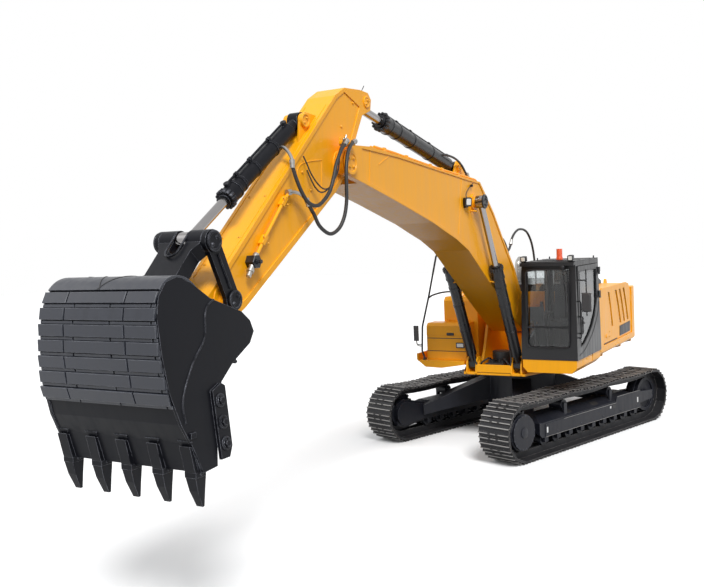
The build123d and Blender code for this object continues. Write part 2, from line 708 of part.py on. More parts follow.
glass_thick = 8
with BuildPart() as glass:
    # front pane, leaning with the posts
    lean = (cab_front_top - cab_front_low) / (cab_top - cab_low)
    pane = [(cab_front(1742) - 30, 1740 + gap), (cab_front(1742) - 30 + glass_thick, 1740 + gap),
            (cab_front(3040) - 30 + glass_thick, 3040 - gap), (cab_front(3040) - 30, 3040 - gap)]
    slab(pane, cab_right_low + 110 + gap, cab_left_low - 130 - gap)
    block(cab_rear + 20, cab_rear + 20 + glass_thick, cab_right_low + 130 + gap, cab_left_low - 130 - gap, 2350 + gap, 3000 - gap)
    with BuildSketch(side(cab_right_top + 30)) as right_pane:
        with BuildLine():
            Polyline((120 + gap, 2250 + gap), (1190 - gap, 1800 + gap), (1190 - gap, 3000 - gap), (120 + gap, 3000 - gap), close=True)
        make_face()
    extrude(right_pane.sketch, amount=glass_thick / 2, both=True)
    block(720 + gap, 1160 - gap, 760 + gap, 1280 - gap, cab_top - 40, cab_top - 40 + glass_thick)
save(glass.part, "cab_glass")

with BuildPart() as cab_door:
    slab(door_body, door_y - cab_wall + 10, door_y + 8)
    slab(window_side, door_y - cab_wall, door_y + 20, mode=Mode.SUBTRACT)
    # hinge knuckles on the rear edge
    x, y = cab_hinge
    for z in cab_hinge_z:
        block(x, x + 60, door_y + 4, y + 8, z, z + hinge_length)
        drum(x, y, hinge_barrel, z, z + hinge_length)
        drum(x, y, hinge_bore, z - 1, z + hinge_length + 1, mode=Mode.SUBTRACT)
    # grab handle
    handle = [(1220, door_y + 4, 1960), (1220, door_y + 60, 1960), (1220, door_y + 60, 2240), (1220, door_y + 4, 2240)]
    tube(handle, [20, 20], 12)
save(cab_door.part, "cab_door")

with BuildPart() as door_glass:
    slab(inset(window_side, gap), door_y - 20, door_y - 20 + glass_thick)
save(door_glass.part, "cab_door_glass")

seat_x, seat_y = 420, 1010
with BuildPart() as seat:
    block(seat_x - 230, seat_x + 250, seat_y - 240, seat_y + 240, 1990, 2100)
    slab([(seat_x - 250, 2060), (seat_x - 130, 2060), (seat_x - 190, 2720), (seat_x - 300, 2700)], seat_y - 230, seat_y + 230)
    slab([(seat_x - 292, 2690), (seat_x - 200, 2710), (seat_x - 225, 2880), (seat_x - 300, 2870)], seat_y - 130, seat_y + 130)
    slab([(seat_x - 180, cab_low + 60 + gap), (seat_x + 180, cab_low + 60 + gap), (seat_x + 140, 1990), (seat_x - 140, 1990)], seat_y - 160, seat_y + 160)
save(seat.part, "cab_seat")

with BuildPart() as controls:
    for hand in (-1, 1):
        y = seat_y + hand * 330
        slab([(seat_x - 160, cab_low + 60 + gap), (seat_x + 240, cab_low + 60 + gap), (seat_x + 330, 2190), (seat_x - 160, 2230)], y - 70, y + 70)
        drum(seat_x + 260, y, 14, 2180, 2380)
        drum(seat_x + 260, y, 30, 2350, 2450)
        # travel lever and pedal
        lever_y = seat_y + hand * 90
        tube([(1080, lever_y, cab_low + 60 + gap), (1080, lever_y, 1780), (1000, lever_y, 2250)], [150], 13)
        block(1000, 1230, lever_y - 55, lever_y + 55, cab_low + 60 + gap, 1610)
    # monitor on the right post
    block(1150, 1190, cab_right_low + 90, cab_right_low + 330, 2150, 2400)
    drum(1170, cab_right_low + 170, 24, cab_low + 60 + gap, 2160)
save(controls.part, "cab_controls")

# ---------------------------------------------------------------- tank, tool box, rails, mirrors and lamps
tank_rear = bay_front + 40 + gap
tank_front, tank_low, tank_top = 900, outrigger_top + gap, 2550
box_front, box_top = 1200, 2100
box_split = 1880          # the tool box's lid closes here
lid_hinge = (tank_front - 42, box_top + 12)   # x, z of its pins
lid_hinge_y = (-1080, -700)
with BuildPart() as tank:
    shape = [(tank_rear, tank_low), (tank_front - 60, tank_low), (tank_front - 60, tank_top - 70),
             (tank_front - 130, tank_top), (tank_rear, tank_top)]
    slab(shape, -1130, -470)
    block(tank_rear, 1, -1400, -1129, tank_low, 2380)
    drum(520, -800, 60, tank_top, tank_top + 45)
    for y in lid_hinge_y:
        x, z = lid_hinge
        block(tank_front - 61, x + 5, y - 12, y, z - 9, z + 9)
        disc(lid_hinge, hinge_pin - 2, y - 12, y + 60)
save(tank.part, "fuel_tank")

with BuildPart() as tool_box:
    shell = [(tank_front - 60 + gap, tank_low), (box_front, tank_low), (box_front, box_split), (tank_front - 60 + gap, box_split)]
    slab(shell, -1330, -560)
    block(tank_front - 20, box_front - 30, -1300, -590, tank_low + 30, box_split + 1, mode=Mode.SUBTRACT)
    block(15, tank_front - 60, -1400, -1130 - gap, tank_low, box_split)
save(tool_box.part, "tool_box")

with BuildPart() as lid:
    cover = [(tank_front - 60 + running, box_split + gap), (box_front + 4, box_split + gap), (box_front - 6, box_top - 50),
             (box_front - 60, box_top), (tank_front - 60 + running, box_top)]
    slab(cover, -1332, -556)
    inside = [(tank_front - 30, box_split - 1), (box_front - 22, box_split - 1), (box_front - 30, box_top - 62),
              (box_front - 70, box_top - 26), (tank_front - 30, box_top - 26)]
    slab(inside, -1306, -582, mode=Mode.SUBTRACT)
    for y in lid_hinge_y:
        x, z = lid_hinge
        disc(lid_hinge, hinge_barrel - 2, y + 0.5, y + 60)
        disc(lid_hinge, hinge_bore - 2, y, y + 61, mode=Mode.SUBTRACT)
save(lid.part, "tool_box_lid")

rail_radius = 17
with BuildPart() as rails:
    x, y = right_deck_front - 35, -1392
    tube([(x, y + 40, outrigger_top + gap), (x, y + 40, 1500), (x, y, 1600), (x, y + 24, 2050), (x, y + 175, 2600),
          (x, y + 352, 3330), (x - 40, y + 480, 3400), (x - 300, y + 560, 3400), (x - 520, y + 580, 3180),
          (x - 520, y + 580, tank_top + gap)], [60, 60, 300, 300, 60, 60, 90, 90], rail_radius)
save(rails.part, "handrail")

with BuildPart() as mirrors:
    # right mirror on a stalk from the handrail, left mirror on an arm from the cab's post
    stalk_x = right_deck_front - 35
    tube([(stalk_x, -1386 - rail_radius - gap, 1720), (stalk_x, -1500, 1720), (stalk_x, -1500, 1800)], [30], 8)
    block(stalk_x - 15, stalk_x + 15, -1545, -1455, 1780, 2060)
    left_out = door_y + 150
    arm_x, arm_z = 1290, 2850
    tube([(arm_x, cab_left(arm_z) + gap, arm_z), (arm_x, left_out, arm_z), (arm_x, left_out, 2600)], [40], 9)
    block(arm_x - 17, arm_x + 17, left_out - 75, left_out + 75, 2330, 2640)
save(mirrors.part, "mirrors")

with BuildPart() as lamps:
    for y in (cab_right_top + 60, cab_left_top - 60):
        block(cab_front_top - 10, cab_front_top + 80, y - 55, y + 55, cab_top + gap, cab_top + 90)
    block(box_front + gap, box_front + 60, -1250, -1130, 1640, 1740)
save(lamps.part, "work_lamps")

with BuildPart() as beacon:
    drum(610, 1000, 58, cab_top + gap, cab_top + 40)
    drum(610, 1000, 52, cab_top + 40, cab_top + 190)
save(beacon.part, "beacon")

# ---------------------------------------------------------------- boom
knee_x, knee_z = knee
# boom seen from the side, from the foot along the belly to the tip and back over the top
boom_outline = [(630, 1920), (1500, 2470), (2190, 2925), (2960, 3440), (3400, 3620), (3820, 3750), (4200, 3872), (5240, 4145), (6130, 4365),
                (6590, 4470), (6660, 4600), (6600, 4730), (6420, 4815), (5940, 4828), (5190, 4768), (3950, 4638), (2860, 4548), (2400, 4510),
                (1850, 4025), (1430, 3560), (950, 3065), (620, 2560), (370, 2210), (330, 2060), (430, 1920)]
fork_inner = arm_half + 16
shell_wall = 24
with BuildPart() as boom:
    slab(boom_outline, -boom_half, boom_half)
    disc(foot, 185, -boom_half, boom_half)
    # webs stand inside the flange edges
    panel = [(900, 2230), (2150, 2990), (2930, 3500), (3800, 3800), (6050, 4400), (6150, 4470), (6150, 4790), (5190, 4735), (2870, 4515), (2430, 4480), (1880, 3995), (990, 3010), (760, 2560)]
    for hand in (-1, 1):
        slab(panel, hand * (boom_half - web_inset), hand * (boom_half + 1), mode=Mode.SUBTRACT)
    # hollow box, open between the foot lugs
    core = [(900, 2215), (2150, 2960), (2940, 3470), (3800, 3790), (5900, 4335), (6080, 4385), (6080, 4540), (5790, 4765),
            (5180, 4735), (2870, 4515), (2420, 4475), (1890, 4000), (1000, 3020), (780, 2560)]
    slab(core, -boom_half + web_inset + shell_wall, boom_half - web_inset - shell_wall, mode=Mode.SUBTRACT)
    slab([(300, 1880), (820, 2120), (1000, 2300), (800, 2640), (300, 2330)], -boom_half + 110, boom_half - 110, mode=Mode.SUBTRACT)
    disc(foot, 185, -boom_half, -boom_half + 110)
    disc(foot, 185, boom_half - 110, boom_half)
    # bosses for the boom cylinder rods, with their pin ends
    for hand in (-1, 1):
        disc(knee, 128, hand * (boom_half - web_inset - 2), hand * (boom_half + 18))
        disc(knee, 84, hand * boom_half, hand * (lift_y - lift_eye_half))
    # fork at the tip, cut back so that the arm's rear edge can swing down into it
    slab([(5850, 4900), (5850, 4800), (6160, 4560), (6160, 4200), (6800, 4200), (6800, 4900)], -fork_inner, fork_inner,
         mode=Mode.SUBTRACT)
    for hand in (-1, 1):
        disc(tip, 150, hand * fork_inner, hand * (boom_half + 8))
        disc(tip, 82, hand * (boom_half + 8), hand * (boom_half + 30))
    disc(tip, pin_radius, -fork_inner - 5, fork_inner + 5)
    # bracket ears of the arm cylinder
    for hand in (-1, 1):
        ear = [(2480, 4500), (2640, 4760), (2730, 4835), (2850, 4835), (2920, 4760), (2990, 4640), (3060, 4550)]
        slab(ear, hand * 84, hand * 114)
        disc(crowd_base, 88, hand * 84, hand * 124)
    disc(crowd_base, pin_radius, -124, 124)
    disc(foot, pin_bore, -boom_half - 1, boom_half + 1, mode=Mode.SUBTRACT)
save(boom.part, "boom")

# ---------------------------------------------------------------- cylinders
# each cylinder: base pin, rod pin, barrel radius, rod radius, base pin to the gland, base pin to the
# piston at rest, eye half width, places across
lift = (lift_base, knee, 92, 50, 1978, 1240, lift_eye_half, (-lift_y, lift_y))
crowd = (crowd_base, tail, 108, 58, 2362, 760, 76, (0,))
curl = (curl_base, rod_pin, 88, 50, 1640, 690, 66, (0,))
eye = 98
neck = 215                # the barrel starts this far from its pin


def lengthwise(cylinder, y):
    """A plane square to the cylinder at its base pin, looking along it."""
    (x0, z0), (x1, z1) = cylinder[0], cylinder[1]
    return Plane(origin=(x0, y, z0), x_dir=(0, 1, 0), z_dir=(x1 - x0, 0, z1 - z0))


def along(cylinder, y, radius, start, end, mode=Mode.ADD):
    base = lengthwise(cylinder, y)
    with BuildSketch(base.offset(start)) as face:
        Circle(radius)
    extrude(face.sketch, amount=end - start, mode=mode)


def make_barrel(cylinder):
    base, rod_end, bore, rod, gland, piston_at, eye_half, places = cylinder
    length = math.dist(base, rod_end)
    with BuildPart() as barrel:
        for y in places:
            along(cylinder, y, eye_half - 4, 60, neck + 10)
            along(cylinder, y, bore, neck, gland - 150)
            along(cylinder, y, bore + 10, gland - 190, gland)
            disc(base, eye, y - eye_half, y + eye_half)
            disc(base, pin_bore, y - eye_half - 1, y + eye_half + 1, mode=Mode.SUBTRACT)
            along(cylinder, y, rod + 6, neck + 60, gland - 80, Mode.SUBTRACT)
            along(cylinder, y, rod + 0.5, gland - 81, gland + 1, Mode.SUBTRACT)
            # pressure pipe on the upper side
            lift_off = bore + 30
            share_in = (neck + 60) / length
            share_out = (gland - 110) / length
            a = between(base, rod_end, share_in, lift_off)
            b = between(base, rod_end, share_out, lift_off)
            a0 = between(base, rod_end, share_in, bore - 10)
            b0 = between(base, rod_end, share_out, bore - 10)
            tube([(a0[0], y, a0[1]), (a[0], y, a[1]), (b[0], y, b[1]), (b0[0], y, b0[1])], [20, 20], 13)
    return barrel.part


def make_rod(cylinder):
    base, rod_end, bore, rod, gland, piston_at, eye_half, places = cylinder
    length = math.dist(base, rod_end)
    with BuildPart() as piston:
        for y in places:
            along(cylinder, y, rod, piston_at, length - 60)
            disc(rod_end, eye, y - eye_half + 6, y + eye_half - 6)
    return piston.part


save(make_barrel(lift), "boom_cylinder_barrels")
save(make_rod(lift), "boom_cylinder_rods")
save(make_barrel(crowd), "arm_cylinder_barrel")
save(make_rod(crowd), "arm_cylinder_rod")
save(make_barrel(curl), "bucket_cylinder_barrel")
save(make_rod(curl), "bucket_cylinder_rod")

# ---------------------------------------------------------------- arm and bucket linkage
arm_outline = [(5720, 5300), (5690, 5440), (5760, 5520), (5960, 5535), (6340, 5515), (6560, 5400), (8940, 3305), (9300, 3010),
               (9340, 2870), (9240, 2750), (9090, 2745), (8470, 3055), (6640, 4255), (6420, 4440), (5930, 5225)]
eye_clear = running + 2
arm_top = ((6560, 5400), (8940, 3305))     # straight upper edge of the arm
arm_boss = arm_half + 5
link_inner = 266
link_thick = 50
h_ear_inner = 76
h_half = link_inner - eye_clear
h_shoulder = 100          # rod pin to where the H link narrows to the arm's width
h_depth = 160
tail_slot = 84
with BuildPart() as arm:
    slab(arm_outline, -arm_half, arm_half)
    panel = inset([(5960, 5330), (6340, 5480), (6540, 5370), (8900, 3290), (8980, 2960), (8480, 3110), (6660, 4300), (6470, 4450)], 16)
    for hand in (-1, 1):
        slab(panel, hand * (arm_half - web_inset), hand * (arm_half + 1), mode=Mode.SUBTRACT)
    core = inset([(6250, 5200), (6500, 5340), (8700, 3400), (8700, 3000), (8500, 3080), (6900, 4130), (6700, 4500)], 20)
    slab(core, -arm_half + web_inset + shell_wall - 4, arm_half - web_inset - shell_wall + 4, mode=Mode.SUBTRACT)
    disc(tip, 158, -arm_boss, arm_boss)
    disc(bucket_pin, 155, -arm_boss, arm_boss)
    disc(link_pin, 98, -link_inner + 4, link_inner - 4)
    # slot for the rod eye of the arm cylinder
    slab([(5600, 5180), (5935, 5180), (5985, 5420), (5940, 5600), (5600, 5600)], -tail_slot, tail_slot, mode=Mode.SUBTRACT)
    disc(tail, 112, -arm_half, -tail_slot)
    disc(tail, 112, tail_slot, arm_half)
    # ears of the bucket cylinder
    root = math.dist(arm_top[0], curl_base) / math.dist(*arm_top)
    ear = [between(*arm_top, root - 0.09, -30), between(*arm_top, root - 0.03, 170), between(*arm_top, root + 0.01, 180),
           between(*arm_top, root + 0.09, -30)]
    for hand in (-1, 1):
        slab(ear, hand * 74, hand * 102)
        disc(curl_base, 84, hand * 74, hand * 112)
    disc(curl_base, pin_radius, -112, 112)
    disc(bucket_pin, pin_bore, -arm_boss - 1, arm_boss + 1, mode=Mode.SUBTRACT)
    disc(tip, pin_bore, -arm_boss - 1, arm_boss + 1, mode=Mode.SUBTRACT)
    disc(link_pin, link_pin_radius, -link_inner - link_thick - 14, link_inner + link_thick + 14)
    # stepped plate round the side link boss
    for hand in (-1, 1):
        disc(link_pin, 165, hand * (arm_half - web_inset - 1), hand * (arm_half + 10))
save(arm.part, "arm")

with BuildPart() as side_links:
    for hand in (-1, 1):
        inner, outer = hand * link_inner, hand * (link_inner + link_thick)
        disc(link_pin, 112, inner, outer)
        disc(rod_pin, 112, inner, outer)
        edge = [between(link_pin, rod_pin, 0, 92), between(link_pin, rod_pin, 1, 92), between(link_pin, rod_pin, 1, -92), between(link_pin, rod_pin, 0, -92)]
        slab(edge, inner, outer)
        for pin in (link_pin, rod_pin):
            disc(pin, 74, outer, outer + hand * 14)
        disc(link_pin, link_pin_radius + 0.5, hand * (link_inner - 1), outer + hand * 15, mode=Mode.SUBTRACT)
save(side_links.part, "side_links")

with BuildPart() as h_link:
    lower_half = bucket_ear_inner = arm_boss + running
    lower_half -= eye_clear
    # box between the pins, waisted in width towards the bucket
    plane = Plane(origin=(rod_pin[0], 0, rod_pin[1]), x_dir=(0, 1, 0), z_dir=(ear_pin[1] - rod_pin[1], 0, rod_pin[0] - ear_pin[0]))
    with BuildSketch(plane) as face:
        with BuildLine():
            Polyline((-h_half, -30), (-h_half, h_shoulder), (-lower_half, h_shoulder + 90),
                     (-lower_half, link_length), (lower_half, link_length),
                     (lower_half, h_shoulder + 90), (h_half, h_shoulder), (h_half, -30), close=True)
        make_face()
    extrude(face.sketch, amount=h_depth / 2, both=True)
    disc(rod_pin, 112, -h_half, h_half)
    disc(ear_pin, 100, -lower_half, lower_half)
    # U shaped mouth for the rod eye
    with BuildSketch(plane) as mouth:
        with BuildLine():
            l1 = Line((-h_ear_inner, 150), (-h_ear_inner, -130))
            l2 = Line(l1 @ 1, (h_ear_inner, -130))
            l3 = Line(l2 @ 1, (h_ear_inner, 150))
            RadiusArc(l3 @ 1, l1 @ 0, -h_ear_inner)
        make_face()
    extrude(mouth.sketch, amount=140, both=True, mode=Mode.SUBTRACT)
    disc(ear_pin, pin_radius - 4.5, -lower_half - 1, lower_half + 1, mode=Mode.SUBTRACT)
save(h_link.part, "h_link")

# ---------------------------------------------------------------- bucket
ear_thick = 50
bucket_wall = 28
mid_z = 2500
slope = (bucket_lip_half - bucket_top_half) / 1490
lean_angle = math.atan(slope)


def bucket_half(z):
    return bucket_top_half + slope * (3247 - z)


def leaning_side(hand, out=0.0):
    """A plane that leans with one side of the bucket."""
    s, c = math.sin(lean_angle), math.cos(lean_angle)
    return Plane(origin=(0, hand * (bucket_half(mid_z) - bucket_wall / 2 + out), mid_z), x_dir=(1, 0, 0), z_dir=(0, -c, -hand * s))


def leaning(outline):
    return [(x, (z - mid_z) / math.cos(lean_angle)) for x, z in outline]


def path_point(path, s):
    for a, b in zip(path, path[1:]):
        step = math.dist(a, b)
        if s <= step:
            return (a[0] + (b[0] - a[0]) * s / step, a[1] + (b[1] - a[1]) * s / step)
        s -= step
    return path[-1]


# back of the bucket, from the top of its mouth over the top and down to the lip
back = [(9330, 2640), (9700, 3100), (9755, 3290), (9855, 3392), (9985, 3430), (10120, 3398), (10225, 3290), (10270, 3130), (10275, 2820),
        (10245, 2500), (10160, 2230), (10060, 2030), (9975, 1800)]
cheek = [(9050, 2880), (9085, 2985), (9190, 3075), (9600, 3230), (9830, 3385), (9985, 3440), (10125, 3405), (10232, 3292), (10280, 3132), (10285, 2820),
         (10255, 2498), (10170, 2226), (10070, 2026), (9985, 1796), (9800, 1810), (9725, 2200), (9690, 2350), (9600, 2500), (9410, 2640), (9130, 2780)]
strip_count = 7
strip_pitch = 152
strip_height = 108
strip_start = 1120
wide = 1000
with BuildPart() as bucket:
    slab(ribbon(back, bucket_wall), -wide, wide)
    strips = []
    for i in range(strip_count):
        s = strip_start + i * strip_pitch
        strips.append(ribbon([path_point(back, s + strip_height), path_point(back, s)], 18))
    slabs(strips, -wide, wide)
    lip = [(10075, 2060), (10000, 1800), (9935, 1790), (9960, 1870), (10020, 2060)]
    slab(lip, -wide, wide)
    # both ends lean with the cheeks
    split(bisect_by=leaning_side(1), keep=Keep.TOP)
    split(bisect_by=leaning_side(-1), keep=Keep.BOTTOM)
    for hand in (-1, 1):
        with BuildSketch(leaning_side(hand)) as face:
            with BuildLine():
                Polyline(*leaning(cheek), close=True)
            make_face()
        extrude(face.sketch, amount=bucket_wall / 2, both=True)
        # side cutter at the front edge of the cheek
        cutter = [(9770, 1860), (9660, 1860), (9610, 1950), (9600, 2470), (9650, 2500), (9770, 2450)]
        with BuildSketch(leaning_side(hand, 30)) as face:
            with BuildLine():
                Polyline(*leaning(cutter), close=True)
            make_face()
        extrude(face.sketch, amount=16, both=True)
        # ears that carry the two pins
        near, far = hand * bucket_ear_inner, hand * (bucket_ear_inner + ear_thick)
        ear = [(9110, 2790), (9325, 2625), (9480, 2820), (9700, 3095), (9770, 3290), (9700, 3330), (9560, 3370), (9470, 3350), (9110, 3020)]
        slab(ear, near, far)
        disc(bucket_pin, 150, near, far)
        disc(ear_pin, 118, near, far)
        for pin in (bucket_pin, ear_pin):
            disc(pin, 84, near, far + hand * 18)
    disc(bucket_pin, pin_radius, -bucket_ear_inner - 10, bucket_ear_inner + 10)
    disc(ear_pin, pin_radius - 5, -bucket_ear_inner - 10, bucket_ear_inner + 10)
    # noses that hold the teeth, wrapped over the lip
    for i in range(tooth_count):
        y = (i - (tooth_count - 1) / 2) * tooth_pitch
        nose = [(10100, 2040), (10052, 1830), (10030, 1760), (9925, 1760), (9905, 1850), (9950, 1990), (9985, 1990)]
        slab(nose, y - 58, y + 58)
save(bucket.part, "bucket")

with BuildPart() as bucket_teeth:
    for i in range(tooth_count):
        y = (i - (tooth_count - 1) / 2) * tooth_pitch
        levels = [(1760 - gap, 9977, 66, 56), (1640, 9968, 46, 48), (tooth_tip_z, 9938, 12, 33)]
        faces = []
        for z, x, deep, across in levels:
            with BuildSketch(Plane.XY.offset(z)) as face:
                with Locations((x, y)):
                    Rectangle(2 * deep, 2 * across)
            faces.append(face.sketch)
        loft(faces, ruled=True)
save(bucket_teeth.part, "bucket_teeth")

# ---------------------------------------------------------------- steel pipes on the boom
pipe_radius = 17
pipe_high = 42            # pipe's middle above the top plate
pipe_places = (-215, -165, 165, 215)
# top plate from the tip back to the bend near the foot
boom_top = [(5700, 4809), (5190, 4768), (3950, 4638), (2860, 4548), (2400, 4510), (1850, 4025), (1430, 3560)]
pipe_route = parallel(boom_top, pipe_high)
# clamps: run of the top plate, share of that run
clamps = ((0, 0.5), (1, 0.1), (1, 0.7), (2, 0.2), (2, 0.75), (4, 0.4), (5, 0.3))
with BuildPart() as boom_pipes:
    for y in pipe_places:
        tube([(x, y, z) for x, z in pipe_route], [400, 400, 400, 160, 300], pipe_radius)
    for run, share in clamps:
        rear, front = boom_top[run + 1], boom_top[run]
        half_share = 30 / math.dist(rear, front)
        low, high = 1, pipe_high + pipe_radius + 6
        outline = [between(rear, front, share - half_share, low), between(rear, front, share + half_share, low),
                   between(rear, front, share + half_share, high), between(rear, front, share - half_share, high)]
        for hand in (-1, 1):
            slab(outline, hand * 142, hand * 238)
save(boom_pipes.part, "boom_pipes")
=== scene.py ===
import bpy
import json
import numpy as np
from math import cos, pi, radians, sin
from mathutils import Matrix, Vector

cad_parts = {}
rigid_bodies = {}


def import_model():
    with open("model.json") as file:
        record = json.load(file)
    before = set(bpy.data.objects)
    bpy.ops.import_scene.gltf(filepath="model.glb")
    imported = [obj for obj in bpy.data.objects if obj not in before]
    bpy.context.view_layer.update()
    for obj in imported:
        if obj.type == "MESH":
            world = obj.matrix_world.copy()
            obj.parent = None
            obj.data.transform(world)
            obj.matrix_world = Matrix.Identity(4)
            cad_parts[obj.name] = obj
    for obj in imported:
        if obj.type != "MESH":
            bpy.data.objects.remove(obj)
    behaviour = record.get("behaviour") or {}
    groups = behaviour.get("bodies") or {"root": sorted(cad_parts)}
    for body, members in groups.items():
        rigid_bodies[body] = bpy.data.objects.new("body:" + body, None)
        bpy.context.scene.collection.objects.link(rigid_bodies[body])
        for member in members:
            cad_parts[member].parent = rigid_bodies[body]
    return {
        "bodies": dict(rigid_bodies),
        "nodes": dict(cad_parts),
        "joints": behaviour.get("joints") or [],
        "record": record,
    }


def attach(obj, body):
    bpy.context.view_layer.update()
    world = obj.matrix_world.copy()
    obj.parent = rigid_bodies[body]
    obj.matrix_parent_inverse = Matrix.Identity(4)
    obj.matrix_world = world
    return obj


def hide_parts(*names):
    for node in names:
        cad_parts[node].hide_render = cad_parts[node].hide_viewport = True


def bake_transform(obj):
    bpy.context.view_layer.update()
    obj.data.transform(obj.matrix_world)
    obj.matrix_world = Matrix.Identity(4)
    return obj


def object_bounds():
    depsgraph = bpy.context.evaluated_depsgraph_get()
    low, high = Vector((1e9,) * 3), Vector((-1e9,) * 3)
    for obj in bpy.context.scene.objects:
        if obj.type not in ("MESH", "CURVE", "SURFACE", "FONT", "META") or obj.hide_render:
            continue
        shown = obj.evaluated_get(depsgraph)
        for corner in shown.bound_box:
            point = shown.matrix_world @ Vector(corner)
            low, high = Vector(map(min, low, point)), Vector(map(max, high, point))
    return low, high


# Looks of a crawler excavator, in metres: +X forward along the boom, +Y to the cab's side, +Z up.
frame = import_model()
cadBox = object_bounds()
print("stage: frame loaded")

# ---- camera, floor and light
camera = {"place": (15.440, 5.590, 3.686), "turn": 210.752, "tilt": -3.567, "roll": -2.538, "lens": 44.302}
light = {"key": 2.9, "fill": 0.40, "sky": 0.66, "floor": 0.98, "bounce": 0.09}


def makeCamera():
    turn, tilt, roll = (radians(camera[k]) for k in ("turn", "tilt", "roll"))
    ahead = Vector((cos(tilt) * cos(turn), cos(tilt) * sin(turn), sin(tilt)))
    right = ahead.cross(Vector((0, 0, 1))).normalized()
    up = right.cross(ahead)
    rolledRight = cos(roll) * right + sin(roll) * up
    rolledUp = cos(roll) * up - sin(roll) * right
    turned = Matrix((rolledRight, rolledUp, -ahead)).transposed().to_4x4()
    data = bpy.data.cameras.new("camera")
    data.lens = camera["lens"]
    data.sensor_width = 36
    data.clip_end = 200
    viewer = bpy.data.objects.new("camera", data)
    bpy.context.scene.collection.objects.link(viewer)
    viewer.matrix_world = Matrix.Translation(camera["place"]) @ turned
    bpy.context.scene.camera = viewer


def makeLamp(name, kind, place, target, power, size):
    data = bpy.data.lights.new(name, kind)
    data.energy = power
    if kind == "AREA":
        data.size = size
    else:
        data.angle = size
    lamp = bpy.data.objects.new(name, data)
    bpy.context.scene.collection.objects.link(lamp)
    lamp.location = place
    lamp.rotation_euler = (Vector(target) - Vector(place)).to_track_quat("-Z", "Y").to_euler()


def linear(red, green, blue):
    # a screen colour of 0 to 255 as light: ((c + 0.055) / 1.055) ^ 2.4
    c = np.array((red, green, blue)) / 255
    light = np.where(c <= 0.04045, c / 12.92, ((c + 0.055) / 1.055) ** 2.4)
    return (*light, 1.0)


def makeStage():
    scene = bpy.context.scene
    scene.view_settings.view_transform = "Standard"
    world = bpy.data.worlds.new("studio")
    scene.world = world
    world.use_nodes = True
    nodes, links = world.node_tree.nodes, world.node_tree.links
    nodes.clear()
    out = nodes.new("ShaderNodeOutputWorld")
    seen = nodes.new("ShaderNodeBackground")
    lit = nodes.new("ShaderNodeBackground")
    path = nodes.new("ShaderNodeLightPath")
    anySeen = nodes.new("ShaderNodeMath")
    anySeen.operation = "MAXIMUM"
    through = nodes.new("ShaderNodeMath")
    through.operation = "MAXIMUM"
    mix = nodes.new("ShaderNodeMixShader")
    seen.inputs["Color"].default_value = (1, 1, 1, 1)
    lit.inputs["Color"].default_value = (0.96, 0.98, 1.0, 1)
    lit.inputs["Strength"].default_value = light["sky"]
    links.new(path.outputs["Is Camera Ray"], anySeen.inputs[0])
    links.new(path.outputs["Is Transmission Ray"], through.inputs[0])
    links.new(path.outputs["Is Glossy Ray"], through.inputs[1])
    links.new(through.outputs[0], anySeen.inputs[1])
    links.new(anySeen.outputs[0], mix.inputs["Fac"])
    links.new(lit.outputs[0], mix.inputs[1])
    links.new(seen.outputs[0], mix.inputs[2])
    links.new(mix.outputs[0], out.inputs["Surface"])
    # plain pale floor that keeps the shadow
    size = 60
    mesh = bpy.data.meshes.new("floor")
    mesh.from_pydata([(-size, -size, 0), (size, -size, 0), (size, size, 0), (-size, size, 0)], [],
                     [(0, 1, 2, 3)])
    floor = bpy.data.objects.new("floor", mesh)
    scene.collection.objects.link(floor)
    floor.location.z = cadBox[0].z - 0.002
    pale = bpy.data.materials.new("paleFloor")
    pale.use_nodes = True
    skin = pale.node_tree.nodes["Principled BSDF"]
    # pale to the eye and in gloss, darker for the light it throws back
    way = pale.node_tree.nodes.new("ShaderNodeLightPath")
    shown = pale.node_tree.nodes.new("ShaderNodeMath")
    shown.operation = "MAXIMUM"
    shade = pale.node_tree.nodes.new("ShaderNodeMapRange")
    shade.inputs["To Min"].default_value = light["bounce"]
    shade.inputs["To Max"].default_value = light["floor"]
    pale.node_tree.links.new(way.outputs["Is Camera Ray"], shown.inputs[0])
    pale.node_tree.links.new(way.outputs["Is Glossy Ray"], shown.inputs[1])
    pale.node_tree.links.new(shown.outputs[0], shade.inputs["Value"])
    pale.node_tree.links.new(shade.outputs[0], skin.inputs["Base Color"])
    skin.inputs["Roughness"].default_value = 0.9
    skin.inputs["Specular IOR Level"].default_value = 0.1
    mesh.materials.append(pale)
    makeLamp("keySun", "SUN", (14, 9, 17), (3, 0, 2), light["key"], 0.35)
    makeLamp("fillSun", "SUN", (6, -14, 9), (3, 0, 2), light["fill"], 0.8)


makeCamera()
makeStage()
print("stage: camera and light made")

# ---- shader groups, each built once
def addNode(tree, kind, **values):
    # values that name a socket fill it, the others are properties of the node
    made = tree.nodes.new("ShaderNode" + kind)
    for name, value in values.items():
        if name in made.inputs:
            made.inputs[name].default_value = value
        else:
            setattr(made, name, value)
    return made


def newGroup(name, inputs, outputs):
    tree = bpy.data.node_groups.new(name, "ShaderNodeTree")
    for label, kind, value in inputs:
        socket = tree.interface.new_socket(label, in_out="INPUT", socket_type="NodeSocket" + kind)
        socket.default_value = value
    for label, kind in outputs:
        tree.interface.new_socket(label, in_out="OUTPUT", socket_type="NodeSocket" + kind)
    return tree, tree.nodes.new("NodeGroupInput"), tree.nodes.new("NodeGroupOutput")


